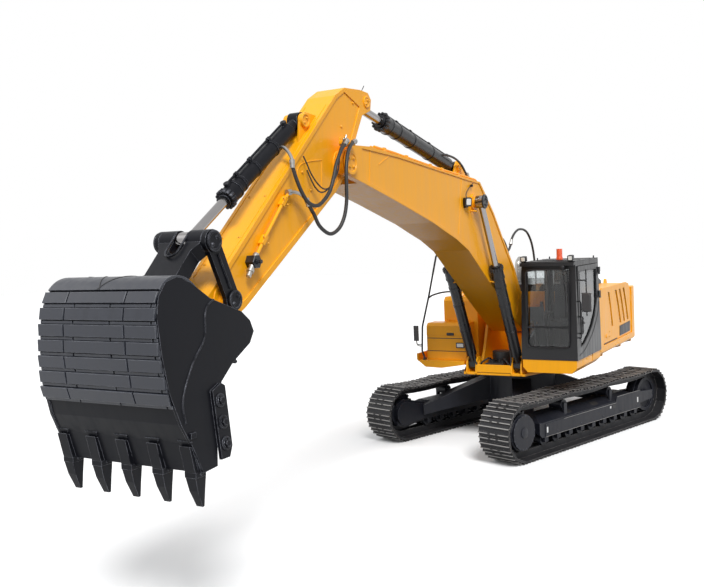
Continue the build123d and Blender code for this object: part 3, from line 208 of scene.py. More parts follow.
def makeWearAndSheenGroup():
    # edges: how far the rounded normal turns from the flat one, broken up by noise
    tree, given, result = newGroup(
        "edgeWearAndSheen",
        [("Width", "Float", 0.008), ("Amount", "Float", 1.0), ("Scale", "Float", 9.0)],
        [("Mask", "Float"), ("Normal", "Vector")])
    link = tree.links.new
    soft = addNode(tree, "Bevel", samples=4)
    flat = addNode(tree, "NewGeometry")
    align = addNode(tree, "VectorMath", operation="DOT_PRODUCT")
    turnAway = addNode(tree, "Math", operation="SUBTRACT")
    turnAway.inputs[0].default_value = 1.0
    place = addNode(tree, "TexCoord")
    chips = addNode(tree, "TexNoise", Detail=6.0, Roughness=0.7)
    ramp = addNode(tree, "MapRange", clamp=True)
    ramp.inputs["From Min"].default_value = 0.38
    ramp.inputs["From Max"].default_value = 0.62
    gain = addNode(tree, "Math", operation="MULTIPLY")
    gain.inputs[1].default_value = 9.0
    wornAndSheen = addNode(tree, "Math", operation="MULTIPLY")
    total = addNode(tree, "Math", operation="MULTIPLY", use_clamp=True)
    link(given.outputs["Width"], soft.inputs["Radius"])
    link(soft.outputs[0], align.inputs[0])
    link(flat.outputs["True Normal"], align.inputs[1])
    link(align.outputs["Value"], turnAway.inputs[1])
    link(place.outputs["Object"], chips.inputs["Vector"])
    link(given.outputs["Scale"], chips.inputs["Scale"])
    link(chips.outputs[0], ramp.inputs["Value"])
    link(turnAway.outputs[0], gain.inputs[0])
    link(gain.outputs[0], wornAndSheen.inputs[0])
    link(ramp.outputs[0], wornAndSheen.inputs[1])
    link(wornAndSheen.outputs[0], total.inputs[0])
    link(given.outputs["Amount"], total.inputs[1])
    link(total.outputs[0], result.inputs["Mask"])
    link(soft.outputs[0], result.inputs["Normal"])
    return tree


def makeDustGroup():
    # dust: faces that look up, patches of noise, and more of it near the ground
    tree, given, result = newGroup(
        "dustFilm",
        [("Amount", "Float", 0.3), ("Scale", "Float", 1.6), ("Ground", "Float", 0.0)],
        [("Mask", "Float")])
    link = tree.links.new
    place = addNode(tree, "TexCoord")
    facing = addNode(tree, "NewGeometry")
    split = addNode(tree, "SeparateXYZ")
    high = addNode(tree, "SeparateXYZ")
    top = addNode(tree, "MapRange", clamp=True)
    top.inputs["From Min"].default_value = 0.2
    top.inputs["From Max"].default_value = 1.0
    low = addNode(tree, "MapRange", clamp=True)
    low.inputs["From Min"].default_value = 1.4
    low.inputs["From Max"].default_value = 0.1
    patches = addNode(tree, "TexNoise", Detail=7.0, Roughness=0.62)
    cloud = addNode(tree, "MapRange", clamp=True)
    cloud.inputs["From Min"].default_value = 0.35
    cloud.inputs["From Max"].default_value = 0.75
    nearGround = addNode(tree, "Math", operation="MULTIPLY")
    both = addNode(tree, "Math", operation="ADD")
    base = addNode(tree, "Math", operation="MULTIPLY_ADD")
    base.inputs[1].default_value = 0.6
    base.inputs[2].default_value = 0.25
    spread = addNode(tree, "Math", operation="MULTIPLY")
    total = addNode(tree, "Math", operation="MULTIPLY", use_clamp=True)
    link(place.outputs["Object"], patches.inputs["Vector"])
    link(given.outputs["Scale"], patches.inputs["Scale"])
    link(patches.outputs[0], cloud.inputs["Value"])
    link(facing.outputs["Normal"], split.inputs[0])
    link(split.outputs["Z"], top.inputs["Value"])
    link(place.outputs["Object"], high.inputs[0])
    link(high.outputs["Z"], low.inputs["Value"])
    link(low.outputs[0], nearGround.inputs[0])
    link(given.outputs["Ground"], nearGround.inputs[1])
    link(top.outputs[0], base.inputs[0])
    link(base.outputs[0], both.inputs[0])
    link(nearGround.outputs[0], both.inputs[1])
    link(both.outputs[0], spread.inputs[0])
    link(cloud.outputs[0], spread.inputs[1])
    link(spread.outputs[0], total.inputs[0])
    link(given.outputs["Amount"], total.inputs[1])
    link(total.outputs[0], result.inputs["Mask"])
    return tree


def makePaintGroup():
    # paint: slow drift of shade over a metre, streaks that run down, and fine orange peel
    tree, given, result = newGroup(
        "paintDrift",
        [("Colour", "Color", (0.8, 0.8, 0.8, 1)), ("Drift", "Float", 0.06), ("Scale", "Float", 0.9)],
        [("Colour", "Color"), ("Rough", "Float"), ("Height", "Float")])
    link = tree.links.new
    place = addNode(tree, "TexCoord")
    slow = addNode(tree, "TexNoise", Detail=3.0)
    streakMap = addNode(tree, "Mapping")
    streakMap.inputs["Scale"].default_value = (7.0, 7.0, 0.7)
    streaks = addNode(tree, "TexNoise", Scale=2.2, Detail=5.0)
    blend = addNode(tree, "Math", operation="ADD")
    shade = addNode(tree, "MapRange")
    shade.inputs["From Min"].default_value = 0.6
    shade.inputs["From Max"].default_value = 1.4
    least = addNode(tree, "Math", operation="SUBTRACT")
    least.inputs[0].default_value = 1.0
    most = addNode(tree, "Math", operation="ADD")
    most.inputs[0].default_value = 1.0
    tone = addNode(tree, "HueSaturation")
    peel = addNode(tree, "TexNoise", Scale=170.0, Detail=1.0)
    rough = addNode(tree, "MapRange")
    rough.inputs["From Min"].default_value = 0.3
    rough.inputs["From Max"].default_value = 0.7
    rough.inputs["To Min"].default_value = -0.06
    rough.inputs["To Max"].default_value = 0.1
    link(place.outputs["Object"], slow.inputs["Vector"])
    link(given.outputs["Scale"], slow.inputs["Scale"])
    link(place.outputs["Object"], streakMap.inputs["Vector"])
    link(streakMap.outputs[0], streaks.inputs["Vector"])
    link(place.outputs["Object"], peel.inputs["Vector"])
    link(slow.outputs[0], blend.inputs[0])
    link(streaks.outputs[0], blend.inputs[1])
    link(given.outputs["Drift"], least.inputs[1])
    link(given.outputs["Drift"], most.inputs[1])
    link(blend.outputs[0], shade.inputs["Value"])
    link(least.outputs[0], shade.inputs["To Min"])
    link(most.outputs[0], shade.inputs["To Max"])
    link(given.outputs["Colour"], tone.inputs["Color"])
    link(shade.outputs[0], tone.inputs["Value"])
    link(streaks.outputs[0], rough.inputs["Value"])
    link(tone.outputs[0], result.inputs["Colour"])
    link(rough.outputs[0], result.inputs["Rough"])
    link(peel.outputs[0], result.inputs["Height"])
    return tree


groups = {"wearAndSheen": makeWearAndSheenGroup(), "dust": makeDustGroup(), "paint": makePaintGroup()}


def placeGroup(tree, name, **values):
    made = tree.nodes.new("ShaderNodeGroup")
    made.node_tree = groups[name]
    for label, value in values.items():
        made.inputs[label].default_value = value
    return made


def paintedMetal(name, colour, rough=0.42, coat=0.0, drift=0.06, wearAndSheen=0.5, wearAndSheenColour=(0.3, 0.28, 0.25, 1),
                 wearAndSheenWidth=0.006, wearAndSheenScale=9.0, dust=0.25, dustColour=(0.45, 0.36, 0.26, 1), ground=0.0,
                 metal=0.0, peel=0.02, wornMetal=0.6, gloss=0.5):
    # paint or steel: drifting colour, then worn edges that show bare metal, and on the yellow a paler yellow
    # that is a painted edge highlight, then a film of dust on top
    made = bpy.data.materials.new(name)
    made.use_nodes = True
    tree = made.node_tree
    link = tree.links.new
    skin = tree.nodes["Principled BSDF"]
    paint = placeGroup(tree, "paint", Colour=colour, Drift=drift)
    edges = placeGroup(tree, "wearAndSheen", Width=wearAndSheenWidth, Amount=wearAndSheen, Scale=wearAndSheenScale)
    film = placeGroup(tree, "dust", Amount=dust, Ground=ground)
    bareAndSheen = addNode(tree, "Mix", data_type="RGBA")
    dusty = addNode(tree, "Mix", data_type="RGBA")
    link(edges.outputs["Mask"], bareAndSheen.inputs["Factor"])
    link(paint.outputs["Colour"], bareAndSheen.inputs[6])
    bareAndSheen.inputs[7].default_value = wearAndSheenColour
    link(film.outputs["Mask"], dusty.inputs["Factor"])
    link(bareAndSheen.outputs[2], dusty.inputs[6])
    dusty.inputs[7].default_value = dustColour
    link(dusty.outputs[2], skin.inputs["Base Color"])
    shine = addNode(tree, "Math", operation="ADD")
    shine.inputs[1].default_value = rough
    dull = addNode(tree, "Math", operation="MULTIPLY_ADD", use_clamp=True)
    dull.inputs[1].default_value = 0.45
    link(paint.outputs["Rough"], shine.inputs[0])
    link(film.outputs["Mask"], dull.inputs[0])
    link(shine.outputs[0], dull.inputs[2])
    link(dull.outputs[0], skin.inputs["Roughness"])
    steel = addNode(tree, "Math", operation="MULTIPLY_ADD", use_clamp=True)
    steel.inputs[1].default_value = wornMetal
    steel.inputs[2].default_value = metal
    link(edges.outputs["Mask"], steel.inputs[0])
    link(steel.outputs[0], skin.inputs["Metallic"])
    bump = addNode(tree, "Bump", Strength=peel, Distance=0.002)
    link(paint.outputs["Height"], bump.inputs["Height"])
    link(edges.outputs["Normal"], bump.inputs["Normal"])
    link(bump.outputs[0], skin.inputs["Normal"])
    skin.inputs["Coat Weight"].default_value = coat
    skin.inputs["Coat Roughness"].default_value = 0.12
    skin.inputs["Specular IOR Level"].default_value = gloss
    return made


def glassPane(name, tint, rough=0.0):
    made = bpy.data.materials.new(name)
    made.use_nodes = True
    tree = made.node_tree
    skin = tree.nodes["Principled BSDF"]
    skin.inputs["Base Color"].default_value = tint
    skin.inputs["Transmission Weight"].default_value = 1.0
    skin.inputs["IOR"].default_value = 1.45
    smear = addNode(tree, "TexNoise", Scale=5.0, Detail=5.0)
    place = addNode(tree, "TexCoord")
    spread = addNode(tree, "MapRange")
    spread.inputs["To Min"].default_value = rough
    spread.inputs["To Max"].default_value = rough + 0.03
    tree.links.new(place.outputs["Object"], smear.inputs["Vector"])
    tree.links.new(smear.outputs[0], spread.inputs["Value"])
    tree.links.new(spread.outputs[0], skin.inputs["Roughness"])
    return made


yellow = linear(250, 171, 8)
finishes = {
    # the yellow's worn edges turn a paler yellow with no bare metal: a painted highlight along its edges
    "body_yellow": paintedMetal("cabYellow", yellow, rough=0.40, coat=0.15, drift=0.05, wearAndSheen=0.18,
                                wearAndSheenColour=linear(255, 214, 130), wearAndSheenWidth=0.008, dust=0.1,
                                dustColour=linear(206, 150, 60), wornMetal=0.0, gloss=0.3),
    "attachment_charcoal": paintedMetal("bucketCharcoal", linear(20, 21, 26), rough=0.38, drift=0.14,
                                        wearAndSheen=1.0,
                                        wearAndSheenColour=linear(128, 130, 138), wearAndSheenWidth=0.006, dust=0.06,
                                        dustColour=linear(60, 58, 58), gloss=0.12),
    "cylinder_black": paintedMetal("cylinderBlack", linear(19, 20, 24), rough=0.28, drift=0.08, wearAndSheen=0.4,
                                   wearAndSheenColour=linear(84, 84, 88), wearAndSheenWidth=0.005, dust=0.08,
                                   dustColour=linear(70, 66, 60), gloss=0.4),
    "rod_chrome": paintedMetal("rodChrome", linear(150, 148, 148), rough=0.16, drift=0.03, wearAndSheen=0.0,
                               dust=0.05,
                               metal=1.0, peel=0.0),
    "frame_dark": paintedMetal("frameNavy", linear(22, 24, 32), rough=0.42, drift=0.12, wearAndSheen=0.7,
                               wearAndSheenColour=linear(96, 98, 106), wearAndSheenWidth=0.007, dust=0.2,
                               dustColour=linear(72, 68, 66), ground=0.4, gloss=0.3),
    "track_steel": paintedMetal("trackSteel", linear(34, 34, 37), rough=0.45, drift=0.2, wearAndSheen=1.0,
                                wearAndSheenColour=linear(150, 146, 142), wearAndSheenWidth=0.007, wearAndSheenScale=14.0, dust=0.3,
                                dustColour=linear(72, 70, 70), ground=0.2, metal=0.2, gloss=0.35),
    "cab_black": paintedMetal("cabBlack", linear(20, 20, 23), rough=0.34, drift=0.06, wearAndSheen=0.3,
                              wearAndSheenColour=linear(80, 80, 84), wearAndSheenWidth=0.004, dust=0.08,
                              dustColour=linear(76, 70, 64), gloss=0.4),
    "window": glassPane("tintedGlass", (0.70, 0.72, 0.72, 1)),
    "lamp": paintedMetal("lampLens", linear(226, 226, 220), rough=0.12, drift=0.02, wearAndSheen=0.0, dust=0.0,
                         peel=0.0,
                         coat=1.0),
    "beacon_orange": paintedMetal("beaconLens", linear(232, 84, 28), rough=0.2, drift=0.04, wearAndSheen=0.0,
                                  dust=0.0,
                                  peel=0.0, coat=1.0),
    "seat_fabric": paintedMetal("seatWeave", linear(58, 58, 62), rough=0.85, drift=0.1, wearAndSheen=0.0, dust=0.1,
                                peel=0.5),
    "dark_plastic": paintedMetal("grainedPlastic", linear(40, 40, 43), rough=0.55, drift=0.05, wearAndSheen=0.15,
                                 wearAndSheenColour=linear(86, 86, 88), wearAndSheenWidth=0.004, dust=0.12, peel=0.25,
                                 wornMetal=0.0),
    "engine_iron": paintedMetal("engineIron", linear(78, 78, 80), rough=0.6, drift=0.2, wearAndSheen=0.3, dust=0.4,
                                peel=0.4, metal=0.3),
    "hose_rubber": paintedMetal("hoseRubber", linear(26, 26, 28), rough=0.48, drift=0.06, wearAndSheen=0.0, dust=0.08,
                                peel=0.1),
    "bare_steel": paintedMetal("bareSteel", linear(164, 162, 158), rough=0.32, drift=0.12, wearAndSheen=0.3,
                               dust=0.12,
                               metal=0.9),
}
finishes["wornSteel"] = paintedMetal("wornBarSteel", linear(150, 148, 146), rough=0.40, drift=0.3, wearAndSheen=0.5,
                                     wearAndSheenColour=linear(165, 160, 155), wearAndSheenWidth=0.004, dust=0.2,
                                     dustColour=linear(70, 68, 68), metal=0.4)
# a lighter, bluer copy of the bucket's charcoal for the strips and the top plate: a painted highlight on the
# bucket's top
finishes["highlitStrips"] = paintedMetal("highlitStripCharcoal", linear(42, 45, 54), rough=0.34, drift=0.16, wearAndSheen=1.0,
                                      wearAndSheenColour=linear(140, 142, 150), wearAndSheenWidth=0.005, dust=0.1,
                                      dustColour=linear(70, 66, 64), gloss=0.5)
finishes["doorGlass"] = glassPane("darkGlass", (0.13, 0.14, 0.15, 1), 0.05)
finishes["pale"] = paintedMetal("stickerWhite", linear(232, 232, 230), rough=0.5, drift=0.03, wearAndSheen=0.0,
                                dust=0.1)


slotOf = {part["node"]: part["material_slot"] for part in frame["record"]["subparts"]}


def finishNodes():
    # each node of the frame takes the finish that its record names
    for name, node in frame["nodes"].items():
        finish = finishes["doorGlass" if name == "cab_door_glass" else slotOf[name]]
        if node.material_slots:
            for held in node.material_slots:
                held.material = finish
        else:
            node.data.materials.append(finish)


finishNodes()
print("stage: finishes made")

# ---- shapes: points and faces, made of rings of points carried along an axis or a path
def unit(vector):
    vector = np.array(vector, float)
    return vector / np.maximum(np.linalg.norm(vector, axis=-1, keepdims=True), 1e-9)


def axesOf(normal, up):
    # right-handed: across, up and out, with across = up x out
    out = unit(normal)
    across = unit(np.cross(up, out))
    return across, np.cross(out, across), out


def skin(rings):
    # rings[i, j] is point j of ring i: quads join ring i to ring i + 1, and one face closes each end
    rows, around = rings.shape[:2]
    index = np.arange(rows * around).reshape(rows, around)
    beside = np.roll(index, -1, axis=1)
    faces = np.stack((index[:-1], beside[:-1], beside[1:], index[1:]), -1).reshape(-1, 4).tolist()
    return rings.reshape(-1, 3), faces + [index[0][::-1].tolist(), index[-1].tolist()]


def plate(outline, origin, normal, depth, bevel=0.003, up=(0, 0, 1)):
    # an outline pushed depth along normal; both rims are cut back by bevel along the mitre of their edges
    flat = np.array(outline, float)
    beside = np.roll(flat, -1, axis=0)
    if (flat[:, 0] * beside[:, 1] - beside[:, 0] * flat[:, 1]).sum() < 0:
        flat = flat[::-1]
    leaving = unit(np.roll(flat, -1, axis=0) - flat)[:, ::-1] * (-1, 1)
    coming = np.roll(leaving, 1, axis=0)
    mitre = (leaving + coming) / (1 + (leaving * coming).sum(1, keepdims=True)).clip(0.3)
    cut = flat + bevel * mitre
    across, rise, out = axesOf(normal, up)
    height = np.array((0, bevel, depth - bevel, depth))[:, None, None]
    flats = np.stack((cut, flat, flat, cut))
    return skin(np.array(origin) + flats[..., :1] * across + flats[..., 1:] * rise + height * out)


def block(low, high, bevel=0.004):
    corners = ((low[0], low[1]), (high[0], low[1]), (high[0], high[1]), (low[0], high[1]))
    return plate(corners, (0, 0, low[2]), (0, 0, 1), high[2] - low[2], bevel, up=(0, 1, 0))


def rounded(width, height, corner, steps=5):
    # a rectangle about (0, 0) whose corners are quarter circles
    turn = np.linspace(0, pi / 2, steps)
    quarter = np.stack((np.cos(turn), np.sin(turn)), -1) * corner
    inside = np.array((width, height)) / 2 - corner
    turned = [quarter[::1] * s if s[0] * s[1] > 0 else quarter[::-1] * s
              for s in (np.array(k) for k in ((1, 1), (-1, 1), (-1, -1), (1, -1)))]
    return np.concatenate([q + inside * s for q, s in zip(turned, ((1, 1), (-1, 1), (-1, -1), (1, -1)))])


def lathe(profile, origin, axis, sides=28):
    # profile rows (along, radius) turned about axis: p = o + along * axis + radius * (cos t, sin t)
    out = unit(axis)
    across, rise, out = axesOf(out, (0, 0, 1) if abs(out[2]) < 0.9 else (1, 0, 0))
    turn = np.linspace(0, 2 * pi, sides, endpoint=False)[None, :, None]
    along, radius = np.array(profile, float).T[..., None, None]
    return skin(np.array(origin) + along * out + radius * (np.cos(turn) * across + np.sin(turn) * rise))


def curve(points, steps=8):
    # Catmull-Rom: 0.5 (2b + (c - a) t + (2a - 5b + 4c - d) t^2 + (3b - a - 3c + d) t^3) between b and c
    p = np.array(points, float)
    p = np.concatenate((2 * p[:1] - p[1:2], p, 2 * p[-1:] - p[-2:-1]))
    a, b, c, d = (p[k:len(p) - 3 + k, None] for k in range(4))
    t = np.linspace(0, 1, steps, endpoint=False)[None, :, None]
    made = 0.5 * (2 * b + (c - a) * t + (2 * a - 5 * b + 4 * c - d) * t ** 2
                  + (3 * b - a - 3 * c + d) * t ** 3)
    return np.concatenate((made.reshape(-1, p.shape[1]), p[-2:-1]))


def tube(path, radius, sides=12):
    # rings about a path, each square to it and turned against the plane that fits the path best
    path = np.array(path, float)
    way = unit(np.gradient(path, axis=0))
    face = np.linalg.svd(path - path.mean(0))[2][2]
    first = unit(np.cross(face, way))
    second = np.cross(way, first)
    turn = np.linspace(0, 2 * pi, sides, endpoint=False)[None, :, None]
    return skin(path[:, None] + radius * (np.cos(turn) * first[:, None] + np.sin(turn) * second[:, None]))


def boltHeads(places, normal, radius=0.014, height=0.012):
    # six-sided heads on round washers
    head = ((0, radius * 1.5), (height * 0.3, radius * 1.5), (height * 0.3, radius), (height, radius * 0.94))
    return [lathe(head[:2], place, normal, 16) for place in places] + [
        lathe(((0, radius), (height, radius), (height * 1.15, radius * 0.8)), place, normal,
              6) for place in places]


def ringOf(count, centre, normal, radius, start=0.0):
    across, rise, _ = axesOf(normal, (0, 0, 1) if abs(unit(normal)[2]) < 0.9 else (1, 0, 0))
    turn = (np.arange(count) * 2 * pi / count + start)[:, None]
    return np.array(centre) + radius * (np.cos(turn) * across + np.sin(turn) * rise)


def mirrored(shapes):
    return [(points * (1, -1, 1), [face[::-1] for face in faces]) for points, faces in shapes]


def piece(name, shapes, finish, body=None, angle=40):
    points = np.concatenate([shape[0] for shape in shapes])
    starts = np.cumsum([0] + [len(shape[0]) for shape in shapes])
    faces = [[start + k for k in face] for start, shape in zip(starts.tolist(), shapes) for face in shape[1]]
    mesh = bpy.data.meshes.new(name)
    mesh.from_pydata(points.tolist(), [], faces)
    mesh.shade_smooth()
    mesh.set_sharp_from_angle(angle=radians(angle))
    mesh.materials.append(finishes[finish])
    made = bpy.data.objects.new(name, mesh)
    bpy.context.scene.collection.objects.link(made)
    if body:
        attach(made, body)
    return made


# ---- bucket: split wear strips, thin plates between them, adaptor tops, side cutter bolts, cheek rib
bucket = {
    "rows": 7, "pitch": 0.1385, "height": 0.1025, "start": 1.313, "proud": 0.014, "thick": 0.024,
    "stripCuts": (0.225, 0.74), "thinCuts": (0.3, 0.615, 0.955), "gap": 0.016, "overhang": 0.014,
    "back": ((9.330, 2.640), (9.700, 3.100), (9.755, 3.290), (9.855, 3.392), (9.985, 3.430), (10.120, 3.398),
             (10.225, 3.290), (10.270, 3.130), (10.275, 2.820), (10.245, 2.500), (10.160, 2.230),
             (10.060, 2.030),
             (9.975, 1.800)),
    "teeth": (-0.734, -0.367, 0.0, 0.367, 0.734), "cutter": (1.985, 2.170, 2.355),
    "rib": ((9.560, 3.215), (9.650, 3.170), (9.705, 3.080), (9.725, 2.958), (9.770, 2.868), (9.906, 2.742),
            (9.998, 2.629), (10.088, 2.491), (10.130, 2.376), (10.120, 2.237)),
    "seams": ((-0.33, -0.02), (0.32, -0.05)), "holes": (-0.38, 0.28), "slope": 0.10805,
}


def bucketHalf(z):
    return 0.675 + bucket["slope"] * (3.247 - z)


def backAt(s):
    line = np.array(bucket["back"])
    steps = np.concatenate(([0], np.cumsum(np.linalg.norm(np.diff(line, axis=0), axis=1))))
    return np.array((np.interp(s, steps, line[:, 0]), 0, np.interp(s, steps, line[:, 1])))


def backPlates(low, high, cuts, sink, thick, bevel, over):
    # flat plates laid on the back between two lengths along it, cut across the width at the given shares
    top, foot = backAt(low), backAt(high)
    rise = unit(top - foot)
    out = np.cross((0, 1, 0), rise)
    half = bucketHalf((top[2] + foot[2]) / 2)
    edges = [-half - over] + [half * (2 * cut - 1) for cut in cuts] + [half - 0.004]
    tall = np.linalg.norm(top - foot)
    return [plate(((a + bucket["gap"] / 2, 0), (b - bucket["gap"] / 2, 0), (b - bucket["gap"] / 2, tall),
                   (a + bucket["gap"] / 2, tall)), foot + out * sink, out, thick, bevel, up=rise)
            for a, b in zip(edges, edges[1:])]


def topPlate():
    # the curved plate above the strips: a flat bar's section carried along the smoothed back
    line = curve(bucket["back"][1:9], 8)
    steps = np.concatenate(([0], np.cumsum(np.linalg.norm(np.diff(line, axis=0), axis=1)))) + 0.59
    s = np.linspace(0.80, 1.303, 20)
    x, z = np.interp(s, steps, line[:, 0]), np.interp(s, steps, line[:, 1])
    way = unit(np.stack((np.gradient(x), np.zeros(20), np.gradient(z)), -1))
    out = np.cross(way, (0, 1, 0)) * -1
    out = out * np.sign(out[10, 2])
    half = bucketHalf(z) - 0.004
    low, high = 0.004, 0.024
    corners = ((-1, low), (1, low), (1, high), (-1, high))
    rings = np.stack([np.stack((x, side * half, z), -1) + out * lift for side, lift in corners], 1)
    return skin(rings), x, z, out


def dressBucket():
    b = bucket
    thick, thin = [], []
    for row in range(b["rows"]):
        s = b["start"] + row * b["pitch"]
        thick += backPlates(s - 0.002, s + b["height"] + 0.002, b["stripCuts"], b["proud"], b["thick"], 0.004,
                            b["overhang"])
        thin += backPlates(s + b["height"] + 0.004, s + b["pitch"] - 0.004, b["thinCuts"], 0.010, 0.014,
                           0.003, 0)
    piece("bucketStrips", thick, "highlitStrips", "bucket")
    piece("bucketThinPlates", thin, "highlitStrips", "bucket")
    # sloped plates over the tops of the adaptors
    rims = []
    for y in b["teeth"]:
        top = ((y - 0.082, 0.0), (y + 0.082, 0.0), (y + 0.05, -0.052), (y - 0.05, -0.052))
        rims.append(plate(top, (10.083, 0, 2.088), (0.93, 0, -0.36), 0.012, 0.004))
    piece("adaptorTops", rims, "attachment_charcoal", "bucket")
    # adaptors: a collar above each tooth and its pin
    collars = []
    for y in b["teeth"]:
        collars += [block((9.917, y - 0.062, 1.752), (10.044, y + 0.062, 1.812), 0.008),
                    lathe(((-0.072, 0.016), (0.072, 0.016)), (9.975, y, 1.79), (0, 1, 0), 12)]
    piece("adaptorCollars", collars, "attachment_charcoal", "bucket")
    rib = curve([(x, bucketHalf(z) + 0.001, z) for x, z in b["rib"]], 5)
    ribs = [tube(rib, 0.010, 8)]
    lean = unit((0, 1, b["slope"]))
    for z in b["cutter"]:
        eye = np.array((9.692, bucketHalf(z) + 0.031, z))
        ribs += [lathe(((0, 0.062), (0.010, 0.062), (0.014, 0.056), (0.014, 0.042), (0.006, 0.040)), eye,
                       lean, 28),
                 lathe(((0, 0.034), (0.030, 0.034), (0.036, 0.028)), eye, lean, 6)]
    tab = block((10.030, bucketHalf(2.13) - 0.01, 2.105), (10.095, bucketHalf(2.13) + 0.020, 2.155), 0.004)
    piece("bucketCheekRibs", ribs + [tab] + mirrored(ribs + [tab]), "attachment_charcoal", "bucket")
    # curved top plate with its slanting seams and two lifting holes
    plateShape, x, z, out = topPlate()
    piece("bucketTopPlate", [plateShape], "highlitStrips", "bucket")
    surface = np.stack((x, np.zeros(20), z), -1) + out * 0.024
    slide = np.linspace(0, 1, 20)[:, None] * (0, 1, 0)
    seams = [tube(surface[4:] + slide[4:] * (end - start) + (0, start, 0), 0.0055, 6) for start,
             end in b["seams"]]
    seams += [lathe(((-0.004, 0.030), (0.002, 0.030), (0.0025, 0.026)), surface[9] + (0, y, 0), out[9], 24)
              for y in b["holes"]]
    piece("bucketSeams", seams, "cab_black", "bucket")


dressBucket()
print("stage: bucket dressed")

# ---- linkage: rim round the mouth of the H link, bars on the side links, round caps with bolts on the pins
pins = {
    "liftBase": (1.205, 1.388), "knee": (2.684, 4.185), "crowdBase": (2.800, 4.737),
    "tip": (6.500, 4.597), "tail": (5.815, 5.400), "curlBase": (7.116, 5.060), "link": (8.815, 3.150),
    "rod": (9.085, 3.730), "bucket": (9.200, 2.900), "ear": (9.533, 3.273),
}
# pin, the face it sits on, cap radius, cap height, bolts, finish, body
capRows = (
    ("tip", 0.330, 0.150, 0.022, 4, "body_yellow", "boom"),
    ("crowdBase", 0.124, 0.070, 0.014, 2, "body_yellow", "boom"),
    ("knee", 0.476, 0.112, 0.020, 3, "cylinder_black", "boom_rods"),
    ("tail", 0.195, 0.075, 0.014, 2, "body_yellow", "arm"),
    ("curlBase", 0.112, 0.082, 0.022, 2, "body_yellow", "arm"),
    ("link", 0.330, 0.098, 0.016, 2, "attachment_charcoal", "side_links"),
    ("rod", 0.330, 0.104, 0.016, 2, "attachment_charcoal", "side_links"),
    ("ear", 0.274, 0.060, 0.012, 2, "attachment_charcoal", "bucket"),
    ("bucket", 0.274, 0.072, 0.014, 2, "attachment_charcoal", "bucket"),
)


def capPins():
    for name, face, radius, tall, count, finish, body in capRows:
        x, z = pins[name]
        ring = ((-0.004, radius), (tall * 0.7, radius), (tall, radius - 0.006), (tall, radius * 0.74),
                (tall * 0.55, radius * 0.70), (tall * 0.55, 0.001))
        shapes = [lathe(ring, (x, face, z), (0, 1, 0), 40)]
        shapes += boltHeads(ringOf(count, (x, face + tall * 0.55, z), (0, 1, 0), radius * 0.46, 0.8),
                            (0, 1, 0),
                            radius * 0.085 + 0.004, 0.016)
        piece(name + "Caps", shapes + mirrored(shapes), finish, body)


def dressLinks():
    down = unit(np.subtract(pins["ear"], pins["rod"]))
    start = np.array(pins["rod"])
    side = np.array((-down[1], down[0]))
    front = side if side[0] > 0 else -side
    # the mouth's rim is a U of round bar on the front face of the H link: down, round and up again
    at = lambda along, across, out: (*(start + down * along + front * out)[[0]], across,
                                     (start + down * along + front * out)[1])
    turn = np.linspace(0, pi, 13)
    path = [at(-0.02, -0.076, 0.103)] + [
        at(0.205 + 0.075 * sin(t), -0.076 * cos(t), 0.103) for t in turn] + [at(-0.02, 0.076, 0.103)]
    piece("mouthRim", [tube(path, 0.011, 8)], "attachment_charcoal", "h_link")
    # a raised bar along each side link
    way = unit(np.subtract(pins["rod"], pins["link"]))
    bar = [(*(np.array(pins["link"]) + way * share)[[0]], 0.318, (np.array(pins["link"]) + way * share)[1])
           for share in np.linspace(0.13, 0.50, 4)]
    bars = [tube(bar, 0.016, 8)]
    piece("sideLinkBars", bars + mirrored(bars), "attachment_charcoal", "side_links")


capPins()
dressLinks()
print("stage: linkage dressed")

# ---- cylinders: gland with its ring of bolts, wiper, clamp bands, ports and side pipe clips
# base pin, rod pin, bore, rod, gland, places across, finish, body
cylinders = {
    "lift": (pins["liftBase"], pins["knee"], 0.092, 0.050, 1.978, (-0.414, 0.414), "cylinder_black",
             "boom_barrels"),
    "crowd": (pins["crowdBase"], pins["tail"], 0.108, 0.058, 2.362, (0,), "cylinder_black", "arm_barrel"),
    "curl": (pins["curlBase"], pins["rod"], 0.088, 0.050, 1.640, (0,), "attachment_charcoal",
             "bucket_barrel"),
}
cylinderParts = {"bolts": 14, "bolt": 0.021, "bands": (0.36, 0.62, 0.8), "port": 0.036}


def dressCylinders():
    c = cylinderParts
    for name, (base, end, bore, rod, gland, places, finish, body) in cylinders.items():
        way = np.array(unit(np.subtract(end, base)))
        axis = np.array((way[0], 0, way[1]))
        above = np.array((-way[1], 0, way[0])) * (1 if way[0] > 0 else -1)
        shapes = []
        for y in places:
            foot = np.array((base[0], y, base[1]))
            for place in ringOf(c["bolts"], foot + axis * (gland - 0.05), axis, bore + 0.006):
                shapes.append(lathe(((0, c["bolt"]), (0.052, c["bolt"]), (0.060, c["bolt"] * 0.7)), place,
                                    axis, 10))
            rings = ((gland - 0.215, bore, 0.030, 0.016), (gland - 0.002, rod, 0.026, 0.024))
            for place, radius, long, proud in rings:
                shapes.append(lathe(((0, radius), (0.004, radius + proud), (long, radius + proud),
                                     (long + 0.005, radius + 0.002)), foot + axis * place, axis, 40))
            for share in c["bands"]:
                place = foot + axis * gland * share
                shapes.append(lathe(((0, bore), (0.001, bore + 0.007), (0.034, bore + 0.007), (0.035, bore)),
                                    place, axis, 40))
                clip = place + above * (bore + 0.028) + axis * 0.017
                shapes.append(lathe(((-0.020, 0.024), (0.020, 0.024)), clip, axis, 14))
            for place in (0.245, gland - 0.12):
                shapes.append(lathe(((0, c["port"]), (0.052, c["port"]), (0.058, c["port"] - 0.006)),
                                    foot + axis * place + above * (bore - 0.012), above, 18))
        piece(name + "CylinderFittings", shapes, finish, body)


dressCylinders()
print("stage: cylinders dressed")

